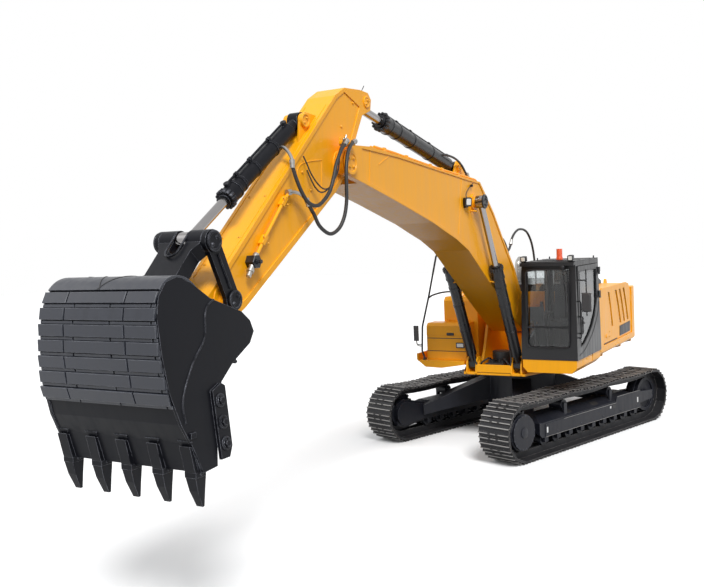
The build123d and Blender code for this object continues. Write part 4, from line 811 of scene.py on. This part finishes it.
# ---- boom: seams, knee lamp with its cable, hooks
boomTrim = {
    "side": 0.288, "seams": (((5.935, 4.800), (5.985, 4.360)), ((3.115, 4.540), (3.290, 3.700)),
                             ((5.726, 4.616), (5.454, 4.734))),
    "lamp": (3.052, 4.180), "lampSize": 0.130, "plug": (2.792, 4.438),
    "hooks": ((2.760, 4.052), (2.06, 2.90)),
}


def lampHead(centre, normal, size, deep):
    # housing, raised bezel and glass of a square work lamp that looks along normal
    centre, normal = np.array(centre, float), unit(normal)
    outer = rounded(size, size, size * 0.18)
    body = [plate(outer, centre - normal * deep, normal, deep, 0.006),
            plate(outer * 1.08, centre - normal * 0.012, normal, 0.020, 0.004)]
    glass = [plate(rounded(size * 0.74, size * 0.74, size * 0.12), centre + normal * 0.004, normal, 0.010,
                   0.004)]
    return body, glass


def dressBoom():
    b = boomTrim
    seams = [tube([(x, b["side"] + 0.001, z) for x, z in seam], 0.006, 6) for seam in b["seams"]]
    x, z = b["lamp"]
    hooks = []
    for hookX, hookZ in b["hooks"]:
        hooks.append(tube(curve([(hookX - 0.045, 0.296, hookZ), (hookX - 0.045, 0.350, hookZ - 0.01),
                                 (hookX, 0.362, hookZ - 0.015), (hookX + 0.045, 0.350, hookZ - 0.01),
                                 (hookX + 0.045, 0.296, hookZ)], 5), 0.011, 8))
    piece("boomSeams", seams + mirrored(seams) + hooks + mirrored(hooks), "body_yellow", "boom")
    housing, glass = lampHead((x, 0.362, z), (0.35, 0.93, -0.1), b["lampSize"], 0.060)
    bracket = [block((x - 0.035, 0.296, z - 0.085), (x + 0.035, 0.345, z + 0.02), 0.004)]
    plugX, plugZ = b["plug"]
    cable = curve([(x, 0.335, z + 0.05), (x - 0.05, 0.312, z + 0.14), (plugX + 0.06, 0.308, plugZ - 0.02),
                   (plugX, 0.308, plugZ), (plugX - 0.09, 0.306, plugZ + 0.045)], 6)
    plug = [lathe(((0, 0.020), (0.034, 0.020), (0.040, 0.012)), (plugX, 0.298, plugZ), (0, 1, 0), 14)]
    piece("boomLampHousing", housing + bracket + [tube(cable, 0.006, 8)] + plug, "cab_black", "boom")
    piece("boomLampGlass", glass, "lamp", "boom")


# ---- arm: pipe to the breaker valve, bulkhead fittings, plugs, face bolts and the wire at the tail
armTrim = {
    "side": 0.183, "pipe": ((7.671, 4.205), (7.768, 4.125), (7.960, 3.925), (8.156, 3.720), (8.262, 3.600),
                            (8.330, 3.530)),
    "clamps": ((7.768, 4.125), (8.156, 3.720)), "valve": (8.369, 3.504), "bulkheads": ((7.645, 4.224),),
    "plugs": ((6.134, 5.355), (6.431, 5.041), (7.322, 4.459), (7.162, 4.264)),
    "faceBolts": ((7.939, 4.196), (8.424, 3.770), (8.720, 3.510)),
}


def dressArm():
    a = armTrim
    side = a["side"]
    pipe = [tube(curve([(x, side + 0.040, z) for x, z in a["pipe"]], 6), 0.020, 12)]
    for x, z in a["clamps"]:
        pipe += [plate(rounded(0.13, 0.055, 0.012), (x, side, z), (0, 1, 0), 0.066, 0.005,
                       up=(0.72, 0, 0.69))]
        pipe += boltHeads([(x + 0.038, side + 0.066, z + 0.036), (x - 0.038, side + 0.066, z - 0.036)],
                          (0, 1, 0),
                          0.009, 0.010)
    pipe += boltHeads([(x, side, z) for x, z in a["plugs"]], (0, 1, 0), 0.013, 0.012)
    along = unit((0.757, 0, -0.653))
    out = unit((0.66, 0, 0.75))
    for x, z in a["faceBolts"]:
        pipe += boltHeads([np.array((x, y, 0)) + (0, 0, 5.400 + (x - 6.560) * -0.880) for y in (-0.11, 0.11)],
                          out,
                          0.010, 0.010)
    piece("armPipe", pipe + mirrored(pipe[:1]), "body_yellow", "arm")
    # seams: the flange of the face plate, and the pad behind the pipe
    edge = [tube([(x, y, 5.402 + (x - 6.560) * -0.880) for x in (6.70, 8.86)], 0.005, 6) for y in (-0.145,
                                                                                                   0.145)]
    pad = [(6.90, 4.62), (7.30, 4.56), (7.42, 4.44), (7.33, 4.22), (7.17, 4.09), (6.98, 4.10)]
    piece("armSeams", edge + [tube(curve([(x, side + 0.001, z) for x, z in pad + pad[:1]], 6), 0.006, 6)],
          "body_yellow", "arm")
    # six-sided black shut-off valve with its steel spigot
    x, z = a["valve"]
    valve = [lathe(((0, 0.075), (0.100, 0.075), (0.106, 0.069)), (x, side, z), (0, 1, 0), 6),
             lathe(((0, 0.030), (0.020, 0.030), (0.021, 0.020), (0.05, 0.020)), (x, side + 0.106, z),
                   (0, 1, 0), 12)]
    piece("armValve", valve, "cylinder_black", "arm")
    steel = [lathe(((-0.10, 0.030), (-0.085, 0.036), (-0.06, 0.036), (0.06, 0.036), (0.075, 0.030),
                    (0.10, 0.030),
                    (0.101, 0.040), (0.13, 0.040), (0.131, 0.028), (0.185, 0.028), (0.19, 0.022)),
                   (x, side + 0.055, z), (0.62, 0.06, -0.78), 20)]
    for x, z in a["bulkheads"]:
        steel += [lathe(((-0.02, 0.036), (0.03, 0.036), (0.031, 0.028), (0.05, 0.028)),
                        (x + 0.03, side + 0.042, z), (-0.9, 0.1, 0.1), 6)]
        steel += [tube(curve([(x + 0.01, 0.240, z), (7.590, 0.255, 4.226), (7.510, 0.272, 4.204),
                              (7.450, 0.290, 4.160), (7.420, 0.300, 4.115)], 6), 0.019, 12)]
    steel += [tube(curve([(7.560, 0.060, 4.735), (7.575, 0.130, 4.720), (7.610, 0.210, 4.660),
                          (7.655, 0.280, 4.580), (7.681, 0.300, 4.520)], 6), 0.019, 12)]
    for place, way in (((7.422, 0.300, 4.119), (-0.2, 0.15, -0.95)),
                       ((7.681, 0.300, 4.527), (0.1, 0.1, -0.98))):
        steel += [lathe(((-0.045, 0.024), (-0.040, 0.030), (0.0, 0.030), (0.001, 0.026), (0.05, 0.026)),
                        place, way, 18)]
    piece("armFittings", steel, "bare_steel", "arm")
    wire = curve([(5.840, 0.100, 5.470), (5.800, 0.100, 5.520), (5.735, 0.100, 5.580), (5.690, 0.100, 5.630)],
                 4)
    piece("tailWire", [tube(wire, 0.005, 6), lathe(((-0.01, 0.016), (0.03, 0.016)), wire[0], (0, 0, 1), 10)],
          "cab_black", "arm")


# ---- hoses that hang free between two bodies
# name, points, radius, the bodies at their two ends, how stiff they are
hoses = (
    ("armHoseUpper", ((6.724, 0.400, 4.800), (6.846, 0.412, 4.705), (6.981, 0.425, 4.542),
                      (7.059, 0.430, 4.392),
                      (7.152, 0.432, 4.243), (7.286, 0.430, 4.132), (7.409, 0.415, 4.072),
                      (7.531, 0.385, 4.107),
                      (7.602, 0.350, 4.225), (7.657, 0.322, 4.376), (7.681, 0.300, 4.500)), 0.0215,
     "boom", "arm", "stiff"),
    ("armHoseLower", ((6.533, 0.400, 4.827), (6.648, 0.425, 4.774), (6.771, 0.455, 4.665),
                      (6.850, 0.475, 4.485),
                      (6.876, 0.485, 4.298), (6.890, 0.485, 4.124), (6.945, 0.480, 3.951),
                      (7.043, 0.460, 3.816),
                      (7.182, 0.425, 3.759), (7.315, 0.380, 3.846), (7.369, 0.345, 3.980),
                      (7.416, 0.305, 4.100)),
     0.0215, "boom", "arm", "stiff"),
    ("armHoseThin", ((6.664, 0.375, 4.876), (6.730, 0.365, 4.800), (6.799, 0.362, 4.705),
                     (6.850, 0.358, 4.555),
                     (6.899, 0.350, 4.404), (6.976, 0.330, 4.297), (7.079, 0.306, 4.272),
                     (7.173, 0.278, 4.338),
                     (7.255, 0.255, 4.445), (7.300, 0.235, 4.553), (7.333, 0.215, 4.636)), 0.0085,
     "boom", "arm", "medium"),
    ("armHoseThinner", ((6.655, 0.340, 4.839), (6.690, 0.338, 4.780), (6.745, 0.334, 4.658),
                        (6.790, 0.330, 4.496),
                        (6.880, 0.320, 4.369), (7.003, 0.298, 4.262), (7.101, 0.276, 4.236),
                        (7.174, 0.252, 4.290),
                        (7.238, 0.232, 4.398), (7.270, 0.215, 4.483)), 0.0085, "boom", "arm", "medium"),
    ("boomFeedHose", ((1.420, 0.215, 3.590), (1.300, 0.215, 3.480), (1.150, 0.215, 3.385),
                      (1.010, 0.217, 3.375),
                      (0.910, 0.220, 3.450), (0.850, 0.225, 3.560), (0.735, 0.235, 3.660),
                      (0.560, 0.240, 3.725),
                      (0.387, 0.240, 3.736), (0.200, 0.240, 3.715), (0.031, 0.240, 3.650),
                      (-0.140, 0.240, 3.500),
                      (-0.250, 0.240, 3.300), (-0.310, 0.240, 3.050), (-0.330, 0.240, 2.750),
                      (-0.330, 0.240, 2.450)), 0.0200, "boom", "upper", "stiff"),
    ("boomFeedHoseFar", ((1.420, -0.215, 3.590), (1.300, -0.215, 3.480), (1.150, -0.215, 3.385),
                         (1.010, -0.217, 3.360), (0.900, -0.220, 3.420), (0.830, -0.225, 3.520),
                         (0.720, -0.235, 3.605), (0.560, -0.240, 3.660), (0.387, -0.240, 3.655),
                         (0.200, -0.240, 3.620),
                         (0.040, -0.240, 3.560), (-0.110, -0.240, 3.430), (-0.230, -0.240, 3.230),
                         (-0.300, -0.240, 3.000), (-0.330, -0.240, 2.750), (-0.330, -0.240, 2.450)), 0.0200,
                         "boom", "upper", "stiff"),
    ("crowdBaseHose", ((3.420, 0.070, 4.890), (3.350, 0.120, 4.900), (3.190, 0.160, 4.880),
                       (2.996, 0.170, 4.840),
                       (2.820, 0.175, 4.760), (2.700, 0.180, 4.660), (2.620, 0.190, 4.590)), 0.0170,
     "boom", "arm_barrel", "stiff"),
    ("liftHoseLeft", ((1.530, 0.336, 2.010), (1.520, 0.338, 1.960), (1.480, 0.338, 1.860),
                      (1.430, 0.338, 1.740),
                      (1.390, 0.338, 1.620), (1.360, 0.335, 1.500), (1.340, 0.310, 1.400),
                      (1.325, 0.265, 1.330),
                      (1.320, 0.250, 1.262)), 0.0140, "upper", "boom_barrels", "stiff"),
    ("liftHoseRight", ((1.530, -0.336, 2.010), (1.520, -0.338, 1.960), (1.480, -0.338, 1.860),
                       (1.430, -0.338, 1.740), (1.390, -0.338, 1.620), (1.360, -0.335, 1.500),
                       (1.340, -0.310, 1.400), (1.325, -0.265, 1.330), (1.320, -0.250, 1.262)), 0.0140,
     "upper", "boom_barrels", "stiff"),
)


def hangHoses():
    for name, points, radius, first, second, stiffness in hoses:
        line = curve(points, 6)
        hose = piece(name, [tube(line, radius, 12)], "hose_rubber")
        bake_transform(hose)


def addHoseEnds():
    # steel ferrules and bulkheads on the boom and the platform, and the valve block between the cylinder feet
    ends = [lathe(((-0.030, 0.032), (0.0, 0.032), (0.001, 0.026), (0.060, 0.026)), place, way, 16)
            for place, way in (((6.694, 0.400, 4.822), (0.75, 0.05, -0.6)),
                               ((6.503, 0.397, 4.838), (0.95, 0.15, -0.2)),
                               ((0.880, 0.222, 3.500), (-0.45, 0.05, 0.9)),
                               ((1.400, -0.215, 3.570), (-0.75, 0, -0.68)),
                               ((2.640, 0.188, 4.615), (-0.6, 0.05, -0.7)))]
    ends += [lathe(((-0.02, 0.014), (0.05, 0.014)), place, (0.4, 0, -0.9), 12)
             for place in ((6.655, 0.375, 4.886), (6.648, 0.340, 4.850))]
    piece("boomHoseEnds", ends, "bare_steel", "boom")
    bracket = [block((6.42, 0.300, 4.800), (6.70, 0.362, 4.842), 0.006),
               plate(rounded(0.26, 0.11, 0.02), (6.56, 0.296, 4.835), (0, 1, 0), 0.016, 0.004)]
    piece("boomEndBracket", bracket, "body_yellow", "boom")
    valve = [block((1.08, -0.17, 1.256), (1.30, 0.17, 1.420), 0.012),
             lathe(((0, 0.17), (0.33, 0.17), (0.335, 0.16)), (0.90, 0.0, 1.256), (0, 0, 1), 28)]
    valve += [lathe(((0, 0.028), (0.03, 0.028), (0.031, 0.022), (0.05, 0.022)), (x, y, 1.418), (0.1, 0, 1),
                    10)
              for x in (1.13, 1.21) for y in (-0.12, -0.07, 0.07, 0.12)]
    loop = [tube(curve([(1.13, y, 1.450), (1.17, y * 1.05, 1.490), (1.23, y * 1.4, 1.480),
                        (1.27, y * 2.0, 1.425),
                        (1.27, y * 2.35, 1.340), (1.25, y * 2.4, 1.262)], 6), 0.015,
                        10) for y in (-0.12, 0.12)]
    piece("platformValve", valve + loop, "hose_rubber", "upper")
    lip = [block((1.335, -0.32, 1.262), (1.352, 0.32, 1.400), 0.004)]
    piece("footPlate", lip, "body_yellow", "upper")


dressBoom()
dressArm()
hangHoses()
addHoseEnds()
print("stage: boom, arm and hoses dressed")

# ---- lamps: two at the roof's front corners and one in the tool box
lamps = {"roof": ((1.395, 0.617, 3.222), (1.395, 1.420, 3.222)), "box": (1.212, -0.668, 1.708), "size": 0.088}


def addLamps():
    housings, glasses = [], []
    for centre in lamps["roof"]:
        body, glass = lampHead(centre, (1, 0, -0.12), lamps["size"], 0.085)
        foot = block((centre[0] - 0.06, centre[1] - 0.018, 3.176),
                     (centre[0] - 0.025, centre[1] + 0.018, 3.20), 0.002)
        housings += body + [foot]
        glasses += glass
    centre = np.array(lamps["box"])
    frame = plate(rounded(0.165, 0.098, 0.014), centre - (0.012, 0, 0), (1, 0, 0), 0.022, 0.004)
    glass = plate(rounded(0.128, 0.064, 0.010), centre + (0.004, 0, 0), (1, 0, 0), 0.010, 0.004)
    made = piece("workLampHousings", housings + [frame], "cab_black", "upper")
    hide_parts("work_lamps")
    piece("workLampGlasses", glasses + [glass], "lamp", "upper")


# ---- cab: seals, lower pane bar, wiper, roof seams and posts, door handle, mirror rod, hinges
cabTrim = {
    "glass": (0.654, 1.375, 1.740, 3.040), "front": 1.412, "paneBar": 2.075,
    "sideWindow": ((1.180, 1.730), (0.980, 1.760), (0.700, 1.880), (0.480, 2.010), (0.300, 2.170),
                   (0.180, 2.320),
                   (0.150, 2.440), (0.150, 2.990), (1.185, 2.990)),
    "door": ((1.270, 1.600), (1.000, 1.640), (0.700, 1.760), (0.440, 1.895), (0.230, 2.060), (0.060, 2.240),
             (-0.005, 2.400)),
    "roofSeams": (0.93, 0.30), "posts": ((1.30, 0.60), (0.60, 0.60), (-0.02, 0.62), (-0.02, 1.42)),
    "hinges": (2.480, 2.900),
}


def dressCab():
    c = cabTrim
    right, left, low, high = c["glass"]
    seal = rounded(left - right, high - low, 0.075)
    middle = ((right + left) / 2, (low + high) / 2)
    loop = [(c["front"] + 0.003, middle[0] + across, middle[1] + up) for across, up in seal]
    shapes = [tube(loop + loop[:1], 0.013, 8),
              block((c["front"] - 0.012, right - 0.005, c["paneBar"] - 0.013),
                    (c["front"] + 0.006, left + 0.005, c["paneBar"] + 0.013), 0.004)]
    # wiper: motor cap, arm and blade on the front glass
    shapes += [lathe(((0, 0.030), (0.035, 0.030), (0.042, 0.022)), (c["front"], 1.300, 3.075), (1, 0, 0), 16),
               tube([(c["front"] + 0.030, 1.300, 3.075), (c["front"] + 0.034, 1.330, 2.700),
                     (c["front"] + 0.026, 1.335, 2.520)], 0.007, 8),
               block((c["front"] + 0.012, 1.327, 2.260), (c["front"] + 0.026, 1.341, 2.800), 0.003)]
    for x in c["roofSeams"]:
        shapes += [block((x - 0.012, 0.590, 3.172), (x + 0.012, 1.455, 3.182), 0.003)]
    for x, y in c["posts"]:
        shapes += [lathe(((0, 0.012), (0.040, 0.012), (0.044, 0.006)), (x, y, 3.172), (0, 0, 1), 10)]
    # gutter round the roof's edge
    gutter = [(1.395, 0.560), (1.395, 1.478), (0.0, 1.478), (-0.06, 1.420), (-0.06, 0.560)]
    shapes += [tube([(x, y, 3.150) for x, y in gutter], 0.011, 8)]
    piece("cabSeals", shapes, "cab_black", "upper")
    outline = [(x, 1.496, z) for x, z in c["sideWindow"]]
    door = [tube(outline + outline[:1], 0.011, 8)]
    edge = curve([(x, 1.494, z) for x, z in c["door"]], 5)
    door += [tube(edge, 0.014, 8)]
    # handle in its recess, and the two hinge leaves
    door += [plate(rounded(0.20, 0.085, 0.02), (1.080, 1.488, 2.120), (0, 1, 0), 0.014, 0.005),
             tube(curve([(1.140, 1.498, 2.110), (1.120, 1.530, 2.112), (1.050, 1.534, 2.120),
                         (1.010, 1.498, 2.128)],
                        5), 0.010, 8)]
    for z in c["hinges"]:
        door += [block((-0.005, 1.492, z - 0.04), (0.115, 1.505, z + 0.04), 0.003)]
        door += boltHeads([(0.050, 1.505, z), (0.092, 1.505, z)], (0, 1, 0), 0.008, 0.007)
    piece("cabDoorTrim", door, "cab_black", "cab_door")
    grab = curve([(1.30, 1.492, 1.90), (1.31, 1.545, 1.92), (1.31, 1.550, 2.20), (1.31, 1.550, 2.48),
                  (1.30, 1.492, 2.50)], 6)
    rods = [tube([(1.290, 1.500, 2.860), (1.290, 1.560, 2.850), (1.290, 1.642, 2.850)], 0.012, 8),
            tube([(1.290, 1.642, 3.030), (1.290, 1.642, 2.260)], 0.011, 8)]
    piece("cabGrab", [tube(grab, 0.012, 8)] + rods, "cab_black", "upper")
    back = plate(rounded(0.150, 0.320, 0.055), (1.268, 1.642, 2.485), (1, 0, 0), 0.052, 0.016)
    piece("mirrorShell", [back], "dark_plastic", "upper")


# ---- left side: slatted louvre openings with a black sheet behind as painted shade, dark plate, edge rivets
leftSide = {
    # front edge at the top, the top's drop from the slope, width, number of slats
    "slots": ((-0.760, 0.230, 0.110, 19), (-1.290, 0.320, 0.120, 19), (-1.600, 0.320, 0.120, 19),
              (-1.910, 0.300, 0.120, 19)),
    "low": 1.840, "high": 2.500, "face": 1.468,
    "plate": ((-1.569, 1.592), (-2.405, 1.600), (-2.426, 1.802), (-1.589, 1.786)),
    "rivets": ((0.0, 1.64), (-0.390, 1.627), (-0.817, 1.762), (-0.808, 1.673), (-0.167, 2.044),
               (-0.158, 1.959)),
}


def dressLeft():
    s = leftSide
    # a black sheet behind the slats is painted shade: it stands in for the shade inside the openings
    deep = [block((-2.400, 1.405, 1.800), (-0.600, 1.412, 2.540), 0.002)]
    slats = []
    for front, drop, width, count in s["slots"]:
        share = (np.arange(count) + 0.5) / count
        for z, x in zip(s["high"] - share * (s["high"] - s["low"]), front - drop * share ** 1.6):
            slats.append(block((x - width - 0.01, 1.418, z - 0.006), (x + 0.01, 1.452, z + 0.006), 0.002))
    piece("louvreSlats", deep + slats, "cab_black", "left_door")
    plateShape = plate([(x, z) for x, z in s["plate"]], (0, s["face"] + 0.008, 0), (0, -1, 0), 0.010, 0.003)
    strip = block((-1.36, s["face"], 1.566), (-0.40, s["face"] + 0.006, 1.584), 0.002)
    piece("sidePlate", [plateShape, strip], "frame_dark", "left_door")
    handles = [plate(rounded(0.12, 0.07, 0.02), (-0.62, s["face"] - 0.002, 1.70), (0, 1, 0), 0.012, 0.004)]
    handles += boltHeads([(x, s["face"], z) for x, z in s["rivets"] if x < -0.34], (0, 1, 0), 0.010, 0.008)
    piece("sideDoorBolts", handles, "body_yellow", "left_door")
    skirt = boltHeads([(x, 1.485, 1.480) for x in (-0.133, -1.181, -1.404, -2.2, 0.8)], (0, 1, 0), 0.012,
                      0.010)
    piece("skirtBolts", skirt + mirrored(skirt), "body_yellow", "upper")


# ---- right front: tool box seams, latch, handrail branch, tank hoop
rightFront = {"face": 1.200, "seams": (1.828, 1.596), "box": (-1.330, -0.560), "latch": (-0.860, 1.905)}


def dressRight():
    r = rightFront
    right, left = r["box"]
    seams = [block((r["face"] - 0.004, right + 0.01, z - 0.006), (r["face"] + 0.003, left - 0.01, z + 0.006),
                   0.002)
             for z in r["seams"]]
    y, z = r["latch"]
    latch = [plate(rounded(0.140, 0.050, 0.012), (r["face"] - 0.002, y, z), (1, 0, 0), 0.018, 0.004),
             plate(rounded(0.050, 0.030, 0.008), (r["face"] + 0.014, y - 0.02, z), (1, 0, 0), 0.012, 0.003)]
    piece("toolBoxTrim", seams + latch, "cab_black", "upper")
    branch = curve([(1.290, -1.222, 2.570), (1.180, -1.190, 2.610), (0.960, -1.120, 2.640),
                    (0.720, -1.050, 2.640),
                    (0.560, -0.990, 2.615), (0.520, -0.980, 2.550)], 6)
    feet = [block((1.225, -1.372, 1.425), (1.302, -1.332, 1.480), 0.004),
            block((0.485, -1.010, 2.546), (0.555, -0.950, 2.556), 0.002),
            block((0.735, -0.842, 2.546), (0.805, -0.782, 2.556), 0.002)]
    piece("handrailBranch", [tube(branch, 0.016, 10)] + feet, "cab_black", "upper")
    stalk = curve([(1.290, -1.372, 1.690), (1.290, -1.430, 1.690), (1.290, -1.485, 1.710),
                   (1.290, -1.500, 1.780)], 6)
    piece("mirrorStalk", [tube(stalk, 0.012, 10)], "bare_steel", "upper")
    hoop = curve([(0.30, -0.80, 2.545), (0.30, -0.80, 2.61), (0.30, -0.86, 2.64), (0.30, -0.92, 2.61),
                  (0.30, -0.92, 2.545)], 6)
    ring = ((0, 0.085), (0.012, 0.085), (0.016, 0.080), (0.018, 0.066), (0.060, 0.062), (0.066, 0.050))
    piece("tankTrim", [tube(hoop, 0.010, 8), lathe(ring, (0.52, -0.80, 2.548), (0, 0, 1), 24)], "body_yellow",
          "upper")


addLamps()
dressCab()
dressLeft()
dressRight()
print("stage: cab and sides dressed")

# ---- tracks and their frames: worn bars of the shoes, dark blocks as painted shade in the hole pairs, guard plates, dark plates as painted shade in the mud holes, blank stickers
tracks = {
    "radius": 0.386, "hub": 0.490, "base": 4.035, "sag": 0.026, "carrier": 0.720, "half": 1.300,
    "width": 0.600,
    "count": 49, "heading": -16.84, "bars": (-0.086, 0.002, 0.086), "tip": 0.104, "plate": 0.076,
    "guard": ((1.395, 0.305), (1.395, 0.520), (-0.780, 0.520), (-0.830, 0.628), (-1.640, 0.628),
              (-1.640, 0.305)),
    "sideFace": 1.505, "mudHoleShade": (0.62, -0.22), "stickers": ((1.345, 0.417), (-1.545, 0.463)),
}


def copies(shape, origins, along, across, out):
    # one shape laid at every origin: p = o + x * along + y * across + z * out
    points, faces = shape
    made = (origins[:, None] + points[None, :, :1] * along[:, None] + points[None, :, 1:2] * across[:, None]
            + points[None, :, 2:] * out[:, None])
    return [(one, faces) for one in made]


def turned(shapes):
    # from the undercarriage's own directions to its heading under the upper structure
    c, s = cos(radians(tracks["heading"])), sin(radians(tracks["heading"]))
    spin = np.array(((c, s, 0), (-s, c, 0), (0, 0, 1)))
    return [(points @ spin, faces) for points, faces in shapes]


def shoePlaces():
    # pin line of a track: low run, front half circle, top run that sags between the wheels, rear half circle
    t = tracks
    half, radius = t["base"] / 2, t["radius"]
    x = np.linspace(-half, half, 160)
    stops = (-half, -t["carrier"], t["carrier"], half)
    sag = sum(np.where((x >= a) & (x <= b), 4 * t["sag"] * (x - a) * (b - x) / (b - a) ** 2, 0)
              for a, b in zip(stops, stops[1:]))
    turn = np.linspace(-pi / 2, pi / 2, 60)
    low = np.stack((x, np.full(160, t["hub"] - radius), x + half), -1)
    front = np.stack((half + radius * np.cos(turn), t["hub"] + radius * np.sin(turn),
                      t["base"] + radius * (turn + pi / 2)), -1)
    high = np.stack((x, t["hub"] + radius - sag, t["base"] + pi * radius + half - x), -1)[::-1]
    rear = np.stack((-half - radius * np.cos(turn), t["hub"] - radius * np.sin(turn),
                     2 * t["base"] + pi * radius + radius * (turn + pi / 2)), -1)
    line = np.concatenate((low, front, high, rear))
    pitch = (2 * t["base"] + 2 * pi * radius) / t["count"]
    at = (np.arange(t["count"]) + 0.5) * pitch
    place = np.stack([np.interp(at, line[:, 2], line[:, k]) for k in (0, 1)], -1)
    ahead = np.stack([np.interp(at + 0.004, line[:, 2], line[:, k]) for k in (0, 1)], -1)
    return place, unit(ahead - place)


def dressTracks():
    t = tracks
    place, way = shoePlaces()
    zero = np.zeros(len(place))
    along = np.stack((way[:, 0], zero, way[:, 1]), -1)
    out = np.stack((way[:, 1], zero, -way[:, 0]), -1)
    across = np.tile((0.0, 1.0, 0.0), (len(place), 1))
    bars, holes = [], []
    for hand in (-1, 1):
        origins = np.stack((place[:, 0], zero + hand * t["half"], place[:, 1]), -1)
        for bar in t["bars"]:
            wide = t["width"] / 2 - 0.002
            shape = block((bar - 0.0085, -wide, t["tip"] - 0.004), (bar + 0.0085, wide, t["tip"] + 0.004),
                          0.0025)
            bars += copies(shape, origins, along, across, out)
        # dark blocks at the hole pairs of each shoe are painted shade: they stand in for the shade seen in
        # the holes
        for side in (-0.075, 0.075):
            for bar in t["bars"][1:]:
                shape = block((bar - 0.012, side - 0.026, t["tip"] - 0.012),
                              (bar + 0.012, side + 0.026, t["tip"] + 0.005),
                              0.001)
                holes += copies(shape, origins, along, across, out)
    piece("shoeBars", turned(bars), "wornSteel", "undercarriage")
    piece("shoeHoleShade", turned(holes), "hose_rubber", "undercarriage")
    face = t["sideFace"]
    guard = [plate(t["guard"], (0, face + 0.012, 0), (0, -1, 0), 0.016, 0.004)]
    for x in (-1.50, -0.95, -0.35, 0.35, 1.05):
        guard += boltHeads([(x, face + 0.010, 0.350)], (0, 1, 0), 0.012, 0.010)
    drive = boltHeads(ringOf(18, (t["base"] / 2, 1.548, t["hub"]), (0, 1, 0), 0.272), (0, 1, 0), 0.010, 0.008)
    hub = [lathe(((0, 0.085), (0.010, 0.085), (0.014, 0.078)), (t["base"] / 2, 1.549, t["hub"]), (0, 1, 0),
                 28)]
    piece("trackGuards", turned(guard + drive + hub + mirrored(guard + drive + hub)), "frame_dark",
          "undercarriage")
    edges = [tube([(x0, face + 0.012, z), (x1, face + 0.012, z)], 0.004, 6)
             for x0, x1, z in ((0.86, -0.78, 0.521), (-0.83, -1.64, 0.628), (1.395, -1.64, 0.306))]
    piece("guardEdges", turned(edges + mirrored(edges)), "wornSteel", "undercarriage")
    # dark plates on the frame's slope and side are painted shade: they stand in for the shade inside the mud
    # holes
    slope = np.array((0, 0.451, 0.892))
    holeShadePlates = [plate(rounded(0.21, 0.095, 0.045), np.array((x, 1.412, 0.592)) - slope * 0.002, slope, 0.006,
                 0.002,
                 up=(0, -0.892, 0.451)) for x in t["mudHoleShade"]]
    holeShadePlates += [plate(rounded(0.085, 0.060, 0.02), (-0.715, face + 0.011, 0.467), (0, 1, 0), 0.004, 0.001)]
    piece("mudHoleShade", turned(holeShadePlates + mirrored(holeShadePlates)), "hose_rubber", "undercarriage")
    stickers = [plate(rounded(0.040, 0.095, 0.006), (x, face + 0.0115, z), (0, 1, 0), 0.002, 0.0004)
                for x, z in t["stickers"]]
    stickers += [plate(rounded(0.042, 0.042, 0.004), (-0.600, face + 0.0115, 0.469), (0, 1, 0), 0.002,
                       0.0004)]
    piece("blankStickers", turned(stickers + mirrored(stickers)), "pale", "undercarriage")


# ---- upper: yellow cover behind the cab door, cowl vents, counterweight seam
upperTrim = {
    "cover": ((1.300, 1.545), (1.000, 1.622), (0.700, 1.742), (0.440, 1.877), (0.230, 2.042), (0.052, 2.225),
              (-0.030, 2.400), (-0.090, 2.560), (-0.328, 2.600), (-0.328, 1.545)),
    "vents": (-2.26, -1.30, 0.045),
}


def dressUpper():
    u = upperTrim
    cover = [plate(u["cover"], (0, 1.488, 0), (0, -1, 0), 0.014, 0.004)]
    cover += boltHeads([(0.349, 1.488, 1.668), (-0.167, 1.488, 2.044), (-0.158, 1.488, 1.959),
                        (0.0, 1.488, 1.640)],
                       (0, 1, 0), 0.009, 0.007)
    piece("doorSweepCover", cover, "body_yellow", "upper")
    start, end, step = u["vents"]
    vents = [block((x, 0.858, 2.735), (x + step * 0.55, 0.868, 2.865), 0.003) for x in np.arange(start, end,
                                                                                                 step)]
    vents += [block((-1.184, y, 2.735), (-1.174, y + step * 0.55, 2.865), 0.003)
              for y in np.arange(0.32, 0.80, step)]
    vents += [tube([(-2.33, 0.862, 2.885), (-1.178, 0.862, 2.885), (-1.178, 0.27, 2.885)], 0.010, 8)]
    piece("cowlVents", vents, "cab_black", "hood")
    seam = curve([(-2.62, 1.478, 2.05), (-2.90, 1.440, 2.05), (-3.20, 1.230, 2.05), (-3.40, 0.900, 2.05),
                  (-3.455, 0.500, 2.05), (-3.455, 0.0, 2.05)], 6)
    band = [tube(seam, 0.007, 8)]
    piece("weightSeam", band + mirrored(band), "body_yellow", "upper")


dressTracks()
dressUpper()
print("stage: undercarriage and upper structure dressed")
